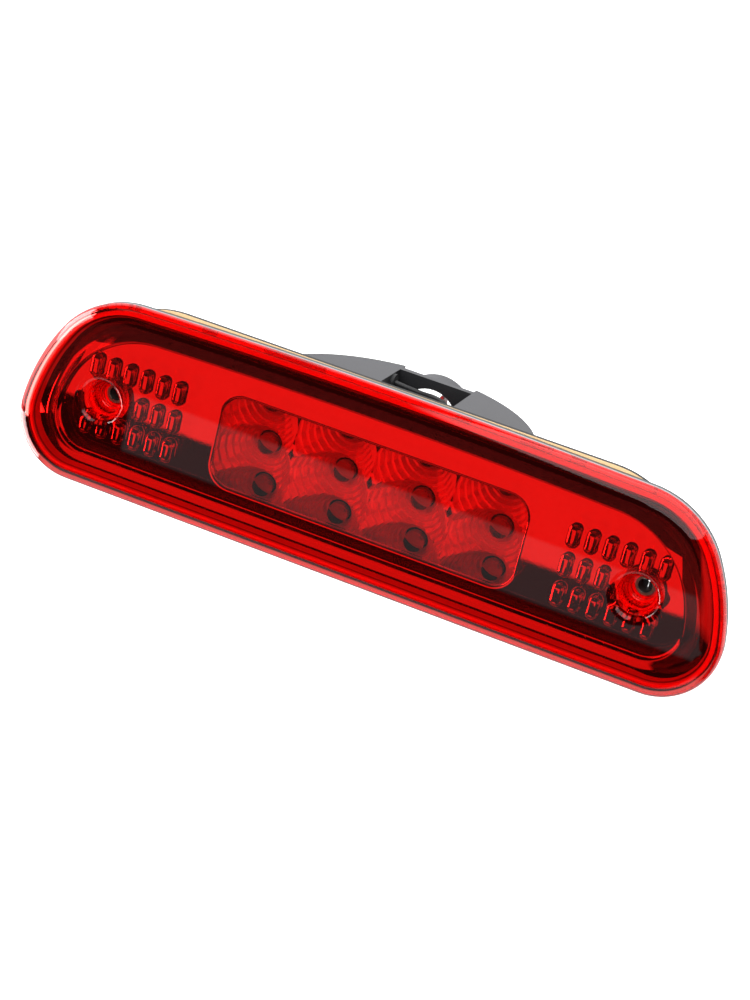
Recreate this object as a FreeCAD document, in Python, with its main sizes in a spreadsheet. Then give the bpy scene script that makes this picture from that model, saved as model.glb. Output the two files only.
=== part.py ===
import FreeCAD, Part
import math
import os
import Sketcher
from FreeCAD import Rotation, Vector

# Third brake light: a long red lens over a metallised bezel and a tilted LED module,
# closed by a dark housing with a foam gasket, two screw wells and a two-wire pigtail.
#
# Frame, in millimetres: X along the lamp, Z up, the lens looks along -Y. The origin is
# halfway between the rear faces of the two screw bosses, which lie in the plane y = 0.
# A length whose name ends in _front is a distance in front of that plane (towards -Y).

os.makedirs("parts", exist_ok=True)

SIZES = [
    # outline of the lens: flat below, crowned above, three arcs round each end
    ("lens_low_x", 114.68),
    ("lens_low_drop", 12.11),
    ("lens_low_radius", 23.76),
    ("lens_side_x", 61.98),
    ("lens_side_radius", 76.88),
    ("lens_shoulder_radius", 34.68),
    ("lens_top", 39.31),
    ("lens_crown_radius", 3051.0),
    # outline of the bezel's sunken floor, made in the same way
    ("floor_low_x", 110.4),
    ("floor_low_drop", 10.2),
    ("floor_low_radius", 13.0),
    ("floor_side_x", 79.46),
    ("floor_side_radius", 44.0),
    ("floor_shoulder_radius", 34.2),
    ("floor_top", 27.34),
    ("floor_crown_radius", 2400.0),
    # lens
    ("lens_back_front", 12.5),
    ("lens_depth", 8.0),
    ("lens_wall", 2.8),
    ("lens_edge_radius", 7.5),
    # screw wells, sleeves and the bosses around them
    ("well_back_front", 5.0),
    ("screw_offset", 105.0),
    ("well_tube_radius", 8.5),
    ("well_mouth_radius", 6.9),
    ("well_floor_radius", 5.0),
    ("well_floor_wall", 2.0),
    ("well_lip_radius", 10.0),
    ("well_lip_depth", 3.0),
    ("sleeve_radius", 3.6),
    ("sleeve_bore_radius", 2.65),
    ("boss_radius", 10.4),
    # gasket
    ("gasket_half_length", 121.0),
    ("gasket_half_height", 37.4),
    ("gasket_rise", 1.5),
    ("gasket_band", 5.0),
    ("foam_thickness", 1.9),
    ("adhesive_thickness", 0.6),
    # seal between lens and housing
    ("seal_outset", 2.9),
    ("seal_inset", 4.5),
    ("seal_height", 1.2),
    # bezel
    ("bezel_back_front", 11.0),
    ("bezel_edge_inset", 5.0),
    ("bezel_edge_thickness", 1.0),
    ("bezel_ledge_width", 4.2),
    ("bezel_ledge_height", 3.5),
    ("bezel_floor_thickness", 1.5),
    ("window_half_length", 59.7),
    ("window_half_height", 17.4),
    ("window_corner", 8.0),
    ("bezel_post_radius", 2.5),
    ("bezel_post_x", 75.0),
    ("bezel_post_z", 28.0),
    ("bezel_gap", 0.3),
    # raised ribs of the bezel, in three rows at each end
    ("rib_width", 5.0),
    ("rib_length", 9.2),
    ("rib_height", 3.0),
    ("rib_pitch", 6.78),
    ("rib_row_pitch", 11.3),
    ("rib_start", 77.4),
    ("rib_rounding", 1.2),
    # LED module, tilted so that its lower rows lie deeper
    ("module_tilt", 14.0),
    ("module_depth", 10.0),
    ("module_drop", 2.0),
    ("led_pitch", 31.1),
    ("led_row_pitch", 18.87),
    ("led_radius", 3.9),
    ("led_rim_radius", 4.4),
    ("led_rim_height", 1.0),
    ("led_barrel", 4.0),
    ("board_length", 128.0),
    ("board_height", 47.0),
    ("board_thickness", 1.6),
    ("bowl_start", 1.4),
    ("bowl_neck_radius", 4.7),
    ("bowl_mouth_radius", 15.3),
    ("bowl_depth", 16.6),
    ("reflector_length", 129.0),
    ("reflector_front_limit", 10.7),
    ("reflector_top", 24.0),
    ("reflector_bottom", 27.0),
    ("chip_length", 6.4),
    ("chip_width", 3.2),
    ("chip_height", 1.1),
    ("module_screw_x", 62.6),
    ("module_screw_radius", 1.1),
    ("module_screw_head", 2.0),
    ("module_screw_length", 9.0),
    # rear housing
    ("housing_back_front", 9.2),
    ("housing_plate", 1.5),
    ("housing_rim_outset", 0.3),
    ("housing_rim_inset", 4.6),
    ("housing_wall", 2.2),
    ("tray_half_length", 70.0),
    ("tray_top", 27.0),
    ("tray_bottom", 30.0),
    ("tray_depth", 22.5),
    ("drum_radius", 52.0),
    ("drum_centre", 3.5),
    ("drum_half_height", 29.7),
    ("pocket_half_width", 14.5),
    ("pocket_front", 19.8),
    ("pocket_floor", 1.0),
    ("bar_front", 40.5),
    ("bar_thickness", 3.0),
    ("collar_radius", 15.0),
    ("collar_bore_radius", 11.5),
    ("collar_height", 14.6),
    ("collar_length", 7.0),
    # grommet, wires and connector
    ("grommet_radius", 3.2),
    ("grommet_neck_radius", 2.4),
    ("grommet_lip", 1.2),
    ("red_exit_x", 4.0),
    ("red_exit_z", 16.0),
    ("black_exit_y", 34.0),
    ("black_exit_z", 26.2),
    ("wire_radius", 1.0),
    ("plug_width", 15.0),
    ("plug_depth", 10.0),
    ("plug_length", 22.0),
    ("plug_wall", 1.5),
    ("plug_mouth_depth", 12.0),
    ("plug_x", 2.0),
    ("plug_y", 58.0),
    ("plug_top", -34.0),
    ("plug_seal_height", 2.5),
    ("wire_spacing", 4.0),
    ("blade_width", 2.8),
    ("blade_thickness", 0.8),
    ("blade_length", 7.0),
    ("lock_height", 1.6),
]

# Routes of the two wires, from their grommets to the plug. They hang, so no formula gives them.
RED_ROUTE = [
    (4.0, 21.0, 16.0),
    (4.0, 27.0, 16.0),
    (4.4, 33.0, 21.6),
    (3.8, 40.0, 23.9),
    (3.0, 47.6, 23.0),
    (1.9, 54.0, 17.8),
    (1.2, 58.0, 9.6),
    (0.5, 59.2, 0.2),
    (-0.2, 58.9, -9.2),
    (-0.1, 58.2, -18.0),
    (0.0, 58.0, -25.0),
    (0.0, 58.2, -31.5),
]
BLACK_ROUTE = [
    (-13.3, 34.0, 26.2),
    (-4.0, 34.2, 25.3),
    (5.5, 34.2, 25.8),
    (10.0, 36.8, 20.6),
    (8.8, 43.0, 15.8),
    (7.6, 50.0, 10.2),
    (6.6, 56.0, 3.0),
    (5.2, 59.6, -6.0),
    (4.4, 59.6, -15.5),
    (4.0, 58.3, -24.5),
    (4.0, 58.0, -31.5),
]

doc = FreeCAD.newDocument("brake_light")
sheet = doc.addObject("Spreadsheet::Sheet", "Sizes")
for number, (word, value) in enumerate(SIZES, start=1):
    cell = "A" + str(number)
    sheet.set(cell, str(value))
    sheet.setAlias(cell, word)
doc.recompute()

FORWARD = Rotation(Vector(1, 0, 0), 90)
BACKWARD = Rotation(Vector(1, 0, 0), -90)
SIDEWAYS = Rotation(Vector(0, 1, 0), 90)
SIDES = [("left", -1), ("right", 1)]
PARTS = []


def size(word):
    """A driving dimension, read back from the sheet."""
    return float(sheet.get(word))


def bind(thing, **rules):
    """Tie properties to formulas whose words are aliases of the sheet."""
    for name, rule in rules.items():
        thing.setExpression(name.replace("__", "."), in_sheet(rule))
    return thing


def in_sheet(rule):
    """Put the sheet's name before every alias in a formula."""
    words = []
    for word in str(rule).replace("(", " ( ").replace(")", " ) ").split():
        known = word in dict(SIZES)
        words.append("Sizes." + word if known else word)
    return " ".join(words)


def place(thing, x="0", y="0", z="0"):
    """Bind the three coordinates of an object's base point."""
    thing.setExpression(".Placement.Base.x", in_sheet(x))
    thing.setExpression(".Placement.Base.y", in_sheet(y))
    thing.setExpression(".Placement.Base.z", in_sheet(z))
    return thing


def finish(thing, label):
    """Give a finished sub-part its name and keep it for the export."""
    thing.Label = label
    PARTS.append(thing)
    return thing


# ---- plain solids -------------------------------------------------------------------------


def box(name, length, width, height, x="0", y="0", z="0"):
    """A block given by its corner with the smallest coordinates."""
    block = doc.addObject("Part::Box", name)
    bind(block, Length=length, Width=width, Height=height)
    return place(block, x, y, z)


def rod(name, radius, length, x="0", y="0", z="0", turn=BACKWARD):
    """A cylinder that runs from its base point towards +Y unless turned otherwise."""
    cylinder = doc.addObject("Part::Cylinder", name)
    cylinder.Placement.Rotation = turn
    bind(cylinder, Radius=radius, Height=length)
    return place(cylinder, x, y, z)


def taper(name, start, end, length, x="0", y="0", z="0", turn=BACKWARD):
    """A cone with its start radius at the base point."""
    cone = doc.addObject("Part::Cone", name)
    cone.Placement.Rotation = turn
    bind(cone, Radius1=start, Radius2=end, Height=length)
    return place(cone, x, y, z)


def fuse(name, shapes):
    """One solid from several."""
    joined = doc.addObject("Part::MultiFuse", name)
    joined.Shapes = shapes
    joined.Refine = True
    return joined


def cut(name, base, tool):
    """The base without the tool."""
    rest = doc.addObject("Part::Cut", name)
    rest.Base = base
    rest.Tool = tool
    rest.Refine = True
    return rest


def common(name, first, second):
    """What two solids share."""
    shared = doc.addObject("Part::MultiCommon", name)
    shared.Shapes = [first, second]
    shared.Refine = True
    return shared


# ---- outlines -----------------------------------------------------------------------------


def amount(rule):
    """A sum of sheet values and numbers as a number, for a sketch's first guess."""
    total = 0.0
    sign = 1
    for word in rule.split():
        if word in "+-":
            sign = 1 if word == "+" else -1
        else:
            total += sign * (size(word) if word in dict(SIZES) else float(word))
    return total


def outline_centres(family):
    """Centres of the low, side, shoulder and crown arcs on the right of an outline."""
    low = Vector(size(family + "_low_x"), -size(family + "_low_drop"), 0)
    side_radius = size(family + "_side_radius")
    side_x = size(family + "_side_x")
    span = side_radius - size(family + "_low_radius")
    side = Vector(side_x, low.y - math.sqrt(span**2 - (low.x - side_x) ** 2), 0)
    crown_radius = size(family + "_crown_radius")
    crown = Vector(0, size(family + "_top") - crown_radius, 0)
    shoulder_radius = size(family + "_shoulder_radius")
    from_side = side_radius - shoulder_radius
    from_crown = crown_radius - shoulder_radius
    apart = side - crown
    along = (apart.Length**2 + from_side**2 - from_crown**2) / (2 * apart.Length)
    away = math.sqrt(from_side**2 - along**2)
    axis = Vector(apart).normalize()
    across = Vector(axis.y, -axis.x, 0)
    shoulder = side - axis * along + across * away
    return low, side, shoulder, crown


def outline_sketch(body, name, family, forward, inset="0"):
    """An outline in front of the plane y = 0 and parallel to it, moved inwards by an inset."""
    sketch = body.newObject("Sketcher::SketchObject", name)
    planes = [p for p in body.Origin.OriginFeatures if p.Role == "XZ_Plane"]
    sketch.AttachmentSupport = [(planes[0], "")]
    sketch.MapMode = "FlatFace"
    sketch.setExpression("AttachmentOffset.Base.z", in_sheet(forward))
    sketch.addGeometry(outline_edges(family, amount(inset)))
    for edge in range(8):
        sketch.addConstraint(Sketcher.Constraint("Tangent", edge, 2, (edge + 1) % 8, 1))
    sketch.addConstraint(Sketcher.Constraint("PointOnObject", 4, 3, -2))
    bind_outline(sketch, family, inset)
    return sketch


def outline_edges(family, less):
    """The bottom line and the seven arcs of an outline, anticlockwise."""
    low, side, shoulder, crown = outline_centres(family)
    first = math.atan2(low.y - side.y, low.x - side.x)
    second = math.atan2(shoulder.y - side.y, shoulder.x - side.x)
    third = math.atan2(shoulder.y - crown.y, shoulder.x - crown.x)
    quarter = math.pi / 2
    right = [
        (low, "_low_radius", -quarter, first),
        (side, "_side_radius", first, second),
        (shoulder, "_shoulder_radius", second, third),
    ]
    up = Vector(0, 0, 1)
    bottom = low.y - size(family + "_low_radius") + less
    edges = [Part.LineSegment(Vector(-low.x, bottom, 0), Vector(low.x, bottom, 0))]
    for centre, word, start, stop in right:
        round_part = Part.Circle(centre, up, size(family + word) - less)
        edges.append(Part.ArcOfCircle(round_part, start, stop))
    top = Part.Circle(crown, up, size(family + "_crown_radius") - less)
    edges.append(Part.ArcOfCircle(top, third, math.pi - third))
    for centre, word, start, stop in reversed(right):
        mirrored = Vector(-centre.x, centre.y, 0)
        round_part = Part.Circle(mirrored, up, size(family + word) - less)
        edges.append(Part.ArcOfCircle(round_part, math.pi - stop, math.pi - start))
    return edges


def bind_outline(sketch, family, inset):
    """Tie an outline's radii and centres to the sheet."""
    words = ["low", "side", "shoulder", "crown", "shoulder", "side", "low"]
    for edge, word in enumerate(words, start=1):
        radius_word = "%s_%s_radius" % (family, word)
        radius = size(radius_word) - amount(inset)
        rule = "%s - ( %s )" % (radius_word, inset)
        add_bound(sketch, Sketcher.Constraint("Radius", edge, radius), rule)
    low, side, shoulder, crown = outline_centres(family)
    drop = family + "_low_drop"
    distances = [
        ("DistanceX", -1, 1, 1, 3, low.x, family + "_low_x"),
        ("DistanceX", 7, 3, -1, 1, low.x, family + "_low_x"),
        ("DistanceY", 1, 3, -1, 1, -low.y, drop),
        ("DistanceY", 7, 3, -1, 1, -low.y, drop),
        ("DistanceX", -1, 1, 2, 3, side.x, family + "_side_x"),
        ("DistanceX", 6, 3, -1, 1, side.x, family + "_side_x"),
        ("DistanceY", 4, 3, -1, 1, -crown.y, family + "_crown_radius - " + family + "_top"),
    ]
    for kind, first, first_end, second, second_end, value, rule in distances:
        constraint = Sketcher.Constraint(kind, first, first_end, second, second_end, value)
        add_bound(sketch, constraint, rule)


def add_bound(sketch, constraint, rule):
    """Add a constraint whose value follows the sheet."""
    index = sketch.addConstraint(constraint)
    sketch.setExpression("Constraints[%d]" % index, in_sheet(rule))


def pad(body, sketch, name, length):
    """Thicken a sketch towards the front."""
    feature = body.newObject("PartDesign::Pad", name)
    feature.Profile = sketch
    return bind(feature, Length=length)


def pocket_forward(body, sketch, name, length):
    """Cut a sketch towards the front."""
    feature = body.newObject("PartDesign::Pocket", name)
    feature.Profile = sketch
    feature.Reversed = True
    return bind(feature, Length=length)


def edges_at(shape, forward):
    """Names of the edges that lie wholly in one plane in front of y = 0."""
    found = []
    for number, edge in enumerate(shape.Edges, start=1):
        box_of_edge = edge.BoundBox
        if abs(box_of_edge.YMin + forward) < 0.01 and abs(box_of_edge.YMax + forward) < 0.01:
            found.append("Edge" + str(number))
    return found


# ---- lens ---------------------------------------------------------------------------------


def lens_shell():
    """The moulded red cover without its screw wells."""
    body = doc.addObject("PartDesign::Body", "LensShell")
    outer = outline_sketch(body, "LensOutline", "lens", "lens_back_front")
    block = pad(body, outer, "LensBlock", "lens_depth")
    doc.recompute()
    front = size("lens_back_front") + size("lens_depth")
    rounding = body.newObject("PartDesign::Fillet", "LensEdge")
    rounding.Base = (block, edges_at(block.Shape, front))
    bind(rounding, Radius="lens_edge_radius")
    inner = outline_sketch(body, "LensInside", "lens", "lens_back_front", "lens_wall")
    hollow = pocket_forward(body, inner, "LensHollow", "lens_depth - lens_wall")
    doc.recompute()
    inner_edge = body.newObject("PartDesign::Fillet", "LensInnerEdge")
    inner_edge.Base = (hollow, edges_at(hollow.Shape, front - size("lens_wall")))
    bind(inner_edge, Radius="lens_edge_radius - lens_wall")
    body.Tip = inner_edge
    return body


def screw_wells():
    """Tubes of the two wells, and the tapered holes that are cut through them."""
    tubes = []
    holes = []
    front = "- lens_back_front - lens_depth"
    whole_depth = "lens_back_front + lens_depth - well_back_front"
    for side, sign in SIDES:
        x = "%d * screw_offset" % sign
        tube_length = whole_depth + " - lens_wall / 2"
        start = front + " + lens_wall / 2"
        tubes.append(rod("WellTube_" + side, "well_tube_radius", tube_length, x, start))
        lip_depth = "well_lip_depth"
        holes.append(
            taper("WellLip_" + side, "well_lip_radius", "well_mouth_radius", lip_depth, x, front)
        )
        deep = whole_depth + " - well_lip_depth - well_floor_wall"
        below_lip = front + " + well_lip_depth"
        holes.append(
            taper("Well_" + side, "well_mouth_radius", "well_floor_radius", deep, x, below_lip)
        )
        floor_start = "- well_back_front - well_floor_wall"
        floor_hole = rod("WellHole_" + side, "sleeve_radius", "well_floor_wall", x, floor_start)
        holes.append(floor_hole)
    return fuse("WellTubes", tubes), fuse("WellHoles", holes)


def outer_lens():
    """Red cover with its two screw wells."""
    tubes, holes = screw_wells()
    whole = fuse("LensWithTubes", [lens_shell(), tubes])
    return finish(cut("OuterLens", whole, holes), "outer_lens")


def lens_seal():
    """Bead of sealant inside the lens wall, on the housing's rim."""
    body = doc.addObject("PartDesign::Body", "LensSeal")
    outer = outline_sketch(body, "SealOutside", "lens", "lens_back_front", "seal_outset")
    pad(body, outer, "SealBlock", "seal_height")
    inner = outline_sketch(body, "SealInside", "lens", "lens_back_front", "seal_inset")
    hollow = pocket_forward(body, inner, "SealHollow", "seal_height")
    body.Tip = hollow
    return finish(body, "lens_seal")


# ---- gasket -------------------------------------------------------------------------------


def stadium(name, half_length, half_height, thickness, start):
    """A straight-sided stadium plate whose rear face lies at the given y."""
    radius = half_height
    reach = "( %s ) - ( %s )" % (half_length, half_height)
    middle = box(
        name + "Middle",
        "2 * ( %s )" % reach,
        thickness,
        "2 * ( %s )" % half_height,
        "- ( %s )" % reach,
        start,
        "gasket_rise - ( %s )" % half_height,
    )
    ends = []
    for side, sign in SIDES:
        x = "%d * ( %s )" % (sign, reach)
        end = rod(name + "End_" + side, radius, thickness, x, start, "gasket_rise")
        ends.append(end)
    return fuse(name, [middle] + ends)


def gasket_ring(name, label, thickness, start):
    """One layer of the gasket: a stadium band."""
    outside = stadium(name + "Out", "gasket_half_length", "gasket_half_height", thickness, start)
    hole_length = "gasket_half_length - gasket_band"
    hole_height = "gasket_half_height - gasket_band"
    inside = stadium(name + "In", hole_length, hole_height, thickness, start)
    return finish(cut(name, outside, inside), label)


def gasket():
    """Foam that meets the vehicle, and the adhesive layer that holds it to the housing."""
    start = "- housing_back_front"
    gasket_ring("GasketAdhesive", "gasket_adhesive", "adhesive_thickness", start)
    foam_start = start + " + adhesive_thickness"
    gasket_ring("GasketFoam", "gasket_foam", "foam_thickness", foam_start)


# ---- bezel --------------------------------------------------------------------------------


def bezel_plate():
    """The stepped plate, before its openings and ribs."""
    body = doc.addObject("PartDesign::Body", "BezelPlate")
    inset = "bezel_edge_inset"
    back = outline_sketch(body, "BezelBack", "lens", "bezel_back_front", inset)
    pad(body, back, "BezelEdge", "bezel_edge_thickness")
    edge_front = "bezel_back_front + bezel_edge_thickness"
    ledge_front = "bezel_back_front + bezel_ledge_height"
    wide = outline_sketch(body, "SlopeBack", "lens", edge_front, inset)
    narrow = outline_sketch(body, "SlopeFront", "floor", ledge_front, "0 - bezel_ledge_width")
    slope = body.newObject("PartDesign::AdditiveLoft", "BezelSlope")
    slope.Profile = wide
    slope.Sections = [narrow]
    slope.Ruled = True
    floor_front = "bezel_back_front + bezel_floor_thickness"
    floor = outline_sketch(body, "BezelFloor", "floor", floor_front)
    sunk = pocket_forward(body, floor, "BezelSink", "bezel_ledge_height")
    body.Tip = sunk
    return body


def led_window():
    """The rounded opening in front of the LED module."""
    length = "2 * window_half_length"
    height = "2 * window_half_height"
    start = "- bezel_back_front - bezel_ledge_height"
    depth = "2 * bezel_ledge_height"
    block = box(
        "WindowBlock", length, depth, height, "- window_half_length", start, "- window_half_height"
    )
    doc.recompute()
    corners = []
    for number, edge in enumerate(block.Shape.Edges, start=1):
        if edge.BoundBox.YLength > size("bezel_ledge_height"):
            corners.append((number, size("window_corner"), size("window_corner")))
    rounded = doc.addObject("Part::Fillet", "Window")
    rounded.Base = block
    rounded.Edges = corners
    return rounded


def rib_places():
    """Grid places of the raised ribs: the screw well takes the outer half of the middle row."""
    for side in (-1, 1):
        for row in (-1, 0, 1):
            columns = 3 if row == 0 else 6
            for column in range(columns):
                yield side, row, column


def bezel_ribs():
    """Rounded upright ribs in three rows at each end of the bezel."""
    ribs = []
    for side, row, column in rib_places():
        name = "Rib_%d" % len(ribs)
        x = "%d * ( rib_start + %d * rib_pitch ) - rib_width / 2" % (side, column)
        start = "- bezel_back_front - bezel_floor_thickness - rib_height"
        z = "%d * rib_row_pitch - rib_length / 2" % row
        block = box(name, "rib_width", "rib_height", "rib_length", x, start, z)
        doc.recompute()
        rounded = doc.addObject("Part::Fillet", name + "_Rounded")
        rounded.Base = block
        rounded.Edges = rib_edges(block.Shape)
        ribs.append(rounded)
    return ribs


def rib_edges(shape):
    """Edges of a rib to round: its four uprights and its front outline."""
    front = shape.BoundBox.YMin
    soft = size("rib_rounding")
    chosen = []
    for number, edge in enumerate(shape.Edges, start=1):
        at_front = edge.BoundBox.YMax < front + 0.01
        along_depth = edge.BoundBox.YLength > size("rib_height") / 2
        if at_front or along_depth:
            chosen.append((number, soft, soft))
    return chosen


def front_bezel():
    """Metallised plate that frames the LED window and carries the ribs."""
    posts = []
    for side, sign in SIDES:
        for level, up in (("low", -1), ("high", 1)):
            x = "%d * bezel_post_x" % sign
            z = "%d * bezel_post_z" % up
            reach = "bezel_back_front + bezel_edge_thickness / 2"
            length = reach + " - housing_back_front - housing_plate"
            start = "- bezel_back_front - bezel_edge_thickness / 2"
            name = "BezelPost_" + side + "_" + level
            posts.append(rod(name, "bezel_post_radius", length, x, start, z))
    whole = fuse("BezelWhole", [bezel_plate()] + bezel_ribs() + posts)
    tools = [led_window()]
    for side, sign in SIDES:
        x = "%d * screw_offset" % sign
        start = "- bezel_back_front - 2 * bezel_ledge_height"
        clear = "well_tube_radius + bezel_gap"
        tools.append(rod("WellClearance_" + side, clear, "3 * bezel_ledge_height", x, start))
    return finish(cut("FrontBezel", whole, fuse("BezelOpenings", tools)), "front_bezel")


# ---- LED module ---------------------------------------------------------------------------
# The module is drawn upright around the centre of its board's front face, then tilted about X.


def tilt(thing):
    """Move an upright piece of the module to its tilted place behind the bezel."""
    thing.setExpression(".Placement.Base.y", in_sheet("module_depth"))
    thing.setExpression(".Placement.Base.z", in_sheet("- module_drop"))
    thing.Placement.Rotation = Rotation(Vector(1, 0, 0), size("module_tilt"))
    return thing


def led_board():
    """Circuit board, with clearance for the two module screws."""
    plate = box(
        "BoardPlate",
        "board_length",
        "board_thickness",
        "board_height",
        "- board_length / 2",
        "0",
        "- board_height / 2",
    )
    holes = []
    for side, sign in SIDES:
        x = "%d * module_screw_x" % sign
        holes.append(rod("BoardHole_" + side, "module_screw_radius", "board_thickness", x))
    return finish(tilt(cut("LedBoard", plate, fuse("BoardHoles", holes))), "led_board")


def led_grid():
    """Row, column and centre of each LED, as formulas."""
    for row in range(3):
        for column in range(4):
            x = "%.1f * led_pitch" % (column - 1.5)
            z = "%d * led_row_pitch" % (1 - row)
            yield row + 1, column + 1, x, z


def leds():
    """Twelve round LEDs: a rim on the board, a barrel and a dome."""
    for row, column, x, z in led_grid():
        tag = "_%d_%d" % (row, column)
        rim = rod("LedRim" + tag, "led_rim_radius", "led_rim_height", x, "- led_rim_height", z)
        barrel = rod("LedBarrel" + tag, "led_radius", "led_barrel", x, "- led_barrel", z)
        dome = doc.addObject("Part::Sphere", "LedDome" + tag)
        bind(dome, Radius="led_radius")
        place(dome, x, "- led_barrel", z)
        finish(tilt(fuse("Led" + tag, [rim, barrel, dome])), "led_row%d_column%d" % (row, column))


def led_reflector():
    """Block of twelve metallised bowls, trimmed to the space behind the bezel."""
    block = box(
        "BowlBlock",
        "reflector_length",
        "bowl_depth",
        "3 * led_row_pitch",
        "- reflector_length / 2",
        "- bowl_start - bowl_depth",
        "- 1.5 * led_row_pitch",
    )
    bowls = []
    for row, column, x, z in led_grid():
        tag = "_%d_%d" % (row, column)
        name = "Bowl" + tag
        neck = "bowl_neck_radius"
        mouth = "bowl_mouth_radius"
        start = "- bowl_start"
        bowls.append(taper(name, neck, mouth, "bowl_depth", x, start, z, FORWARD))
    for side, sign in SIDES:
        x = "%d * module_screw_x" % sign
        start = "- bowl_start - module_screw_length"
        depth = "module_screw_length"
        bowls.append(rod("ScrewPilot_" + side, "module_screw_radius", depth, x, start))
    tilted = tilt(cut("BowlsUpright", block, fuse("Bowls", bowls)))
    room = box(
        "ReflectorRoom",
        "reflector_length",
        "reflector_front_limit + tray_depth",
        "reflector_top + reflector_bottom",
        "- reflector_length / 2",
        "- reflector_front_limit",
        "- reflector_bottom",
    )
    return finish(common("LedReflector", tilted, room), "led_reflector")


def board_parts():
    """Four chip resistors and one diode on the back of the board."""
    chips = []
    for number in range(4):
        chips.append(("resistor_%d" % (number + 1), "%.1f * led_pitch" % (number - 1.5)))
    chips.append(("polarity_diode", "0"))
    for label, x in chips:
        chip = box(
            "Chip_" + label,
            "chip_length",
            "chip_height",
            "chip_width",
            x + " - chip_length / 2",
            "board_thickness",
            "led_row_pitch / 2 - chip_width / 2",
        )
        finish(tilt(fuse_one("Chip" + label, chip)), label)


def fuse_one(name, thing):
    """A compound of one solid, so that it can be placed again as a whole."""
    group = doc.addObject("Part::Compound", name)
    group.Links = [thing]
    return group


def module_screws():
    """Screws that clamp the board to the reflector."""
    for side, sign in SIDES:
        x = "%d * module_screw_x" % sign
        length = "module_screw_length + board_thickness"
        start = "- module_screw_length"
        shank = rod("ModuleShank_" + side, "module_screw_radius", length, x, start)
        name = "ModuleHead_" + side
        head = rod(name, "module_screw_head", "board_thickness", x, "board_thickness")
        finish(tilt(fuse("ModuleScrew_" + side, [shank, head])), "module_screw_" + side)


# ---- housing ------------------------------------------------------------------------------


def housing_front():
    """Plate behind the bezel, with the rim that the lens is sealed to."""
    body = doc.addObject("PartDesign::Body", "HousingFront")
    start = "housing_back_front"
    outset = "housing_rim_outset"
    outside = outline_sketch(body, "RimOutside", "lens", start, outset)
    pad(body, outside, "RimBlock", "lens_back_front - housing_back_front")
    inset = "housing_rim_inset"
    inside = outline_sketch(body, "RimInside", "lens", start + " + housing_plate", inset)
    body.Tip = pocket_forward(body, inside, "RimHollow", "lens_depth")
    return body


def drum(name, radius, half_height, front, back="drum_radius + drum_centre"):
    """The part of an upright drum that lies behind a plane."""
    round_part = doc.addObject("Part::Cylinder", name + "Round")
    bind(round_part, Radius=radius, Height="2 * ( %s )" % half_height)
    place(round_part, "0", "- drum_centre", "- ( %s )" % half_height)
    length = "2 * ( %s )" % radius
    height = "2 * ( %s )" % half_height
    corner = "- ( %s )" % radius
    depth = "( %s ) - ( %s )" % (back, front)
    behind = box(name + "Behind", length, depth, height, corner, front, "- ( %s )" % half_height)
    return common(name, round_part, behind)


def tray(name, less, front, back):
    """A block shell of the LED tray, with an inset on its four sides."""
    half_length = "( tray_half_length - %s )" % less
    height = "( tray_top + tray_bottom - 2 * %s )" % less
    depth = "( %s ) - ( %s )" % (back, front)
    floor = "- tray_bottom + %s" % less
    return box(name, "2 * " + half_length, depth, height, "- " + half_length, front, floor)


def wire_pocket():
    """Room for the wires behind the tray, open at the top, and the bore of the collar."""
    top = "drum_half_height"
    width = "2 * pocket_half_width"
    height = top + " - pocket_floor"
    depth = "bar_front - pocket_front"
    room = box(
        "PocketRoom", width, depth, height, "- pocket_half_width", "pocket_front", "pocket_floor"
    )
    bar_back = "bar_front + bar_thickness"
    behind = box(
        "PocketBehind",
        width,
        "drum_radius - ( %s )" % bar_back,
        "2 * drum_half_height",
        "- pocket_half_width",
        bar_back,
        "- drum_half_height",
    )
    return fuse("PocketSpace", [room, behind])


def collar_ring():
    """Short round collar behind the pocket's rear bar."""
    start = "bar_front + bar_thickness / 2"
    length = "bar_thickness / 2 + collar_length"
    return rod("Collar", "collar_radius", length, "0", start, "collar_height")


def housing_hollow():
    """Inside of the housing: the tray and the drum, kept clear of the wire pocket's walls."""
    wall = "housing_wall"
    open_front = "- lens_back_front"
    inside_tray = tray("TrayInside", wall, open_front, "tray_depth - " + wall)
    radius = "drum_radius - housing_wall"
    inside_drum = drum("DrumInside", radius, "drum_half_height - housing_wall", "0")
    everything = fuse("HousingInside", [inside_tray, inside_drum])
    keep = box(
        "PocketWalls",
        "2 * ( pocket_half_width + housing_wall )",
        "drum_radius",
        "2 * drum_half_height",
        "- pocket_half_width - housing_wall",
        "pocket_front - housing_wall",
        "pocket_floor - housing_wall",
    )
    below = box(
        "RearWallBelow",
        "2 * ( pocket_half_width + housing_wall )",
        "drum_radius",
        "2 * drum_half_height",
        "- pocket_half_width - housing_wall",
        "bar_front",
        "- drum_half_height",
    )
    return cut("HousingHollow", everything, fuse("KeepWalls", [keep, below]))


def screw_bosses():
    """Round bosses that reach back around the wells' tubes and sleeves."""
    bosses = []
    for side, sign in SIDES:
        x = "%d * screw_offset" % sign
        start = "- housing_back_front - housing_plate / 2"
        length = "housing_back_front + housing_plate / 2"
        bosses.append(rod("Boss_" + side, "boss_radius", length, x, start))
    return bosses


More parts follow.
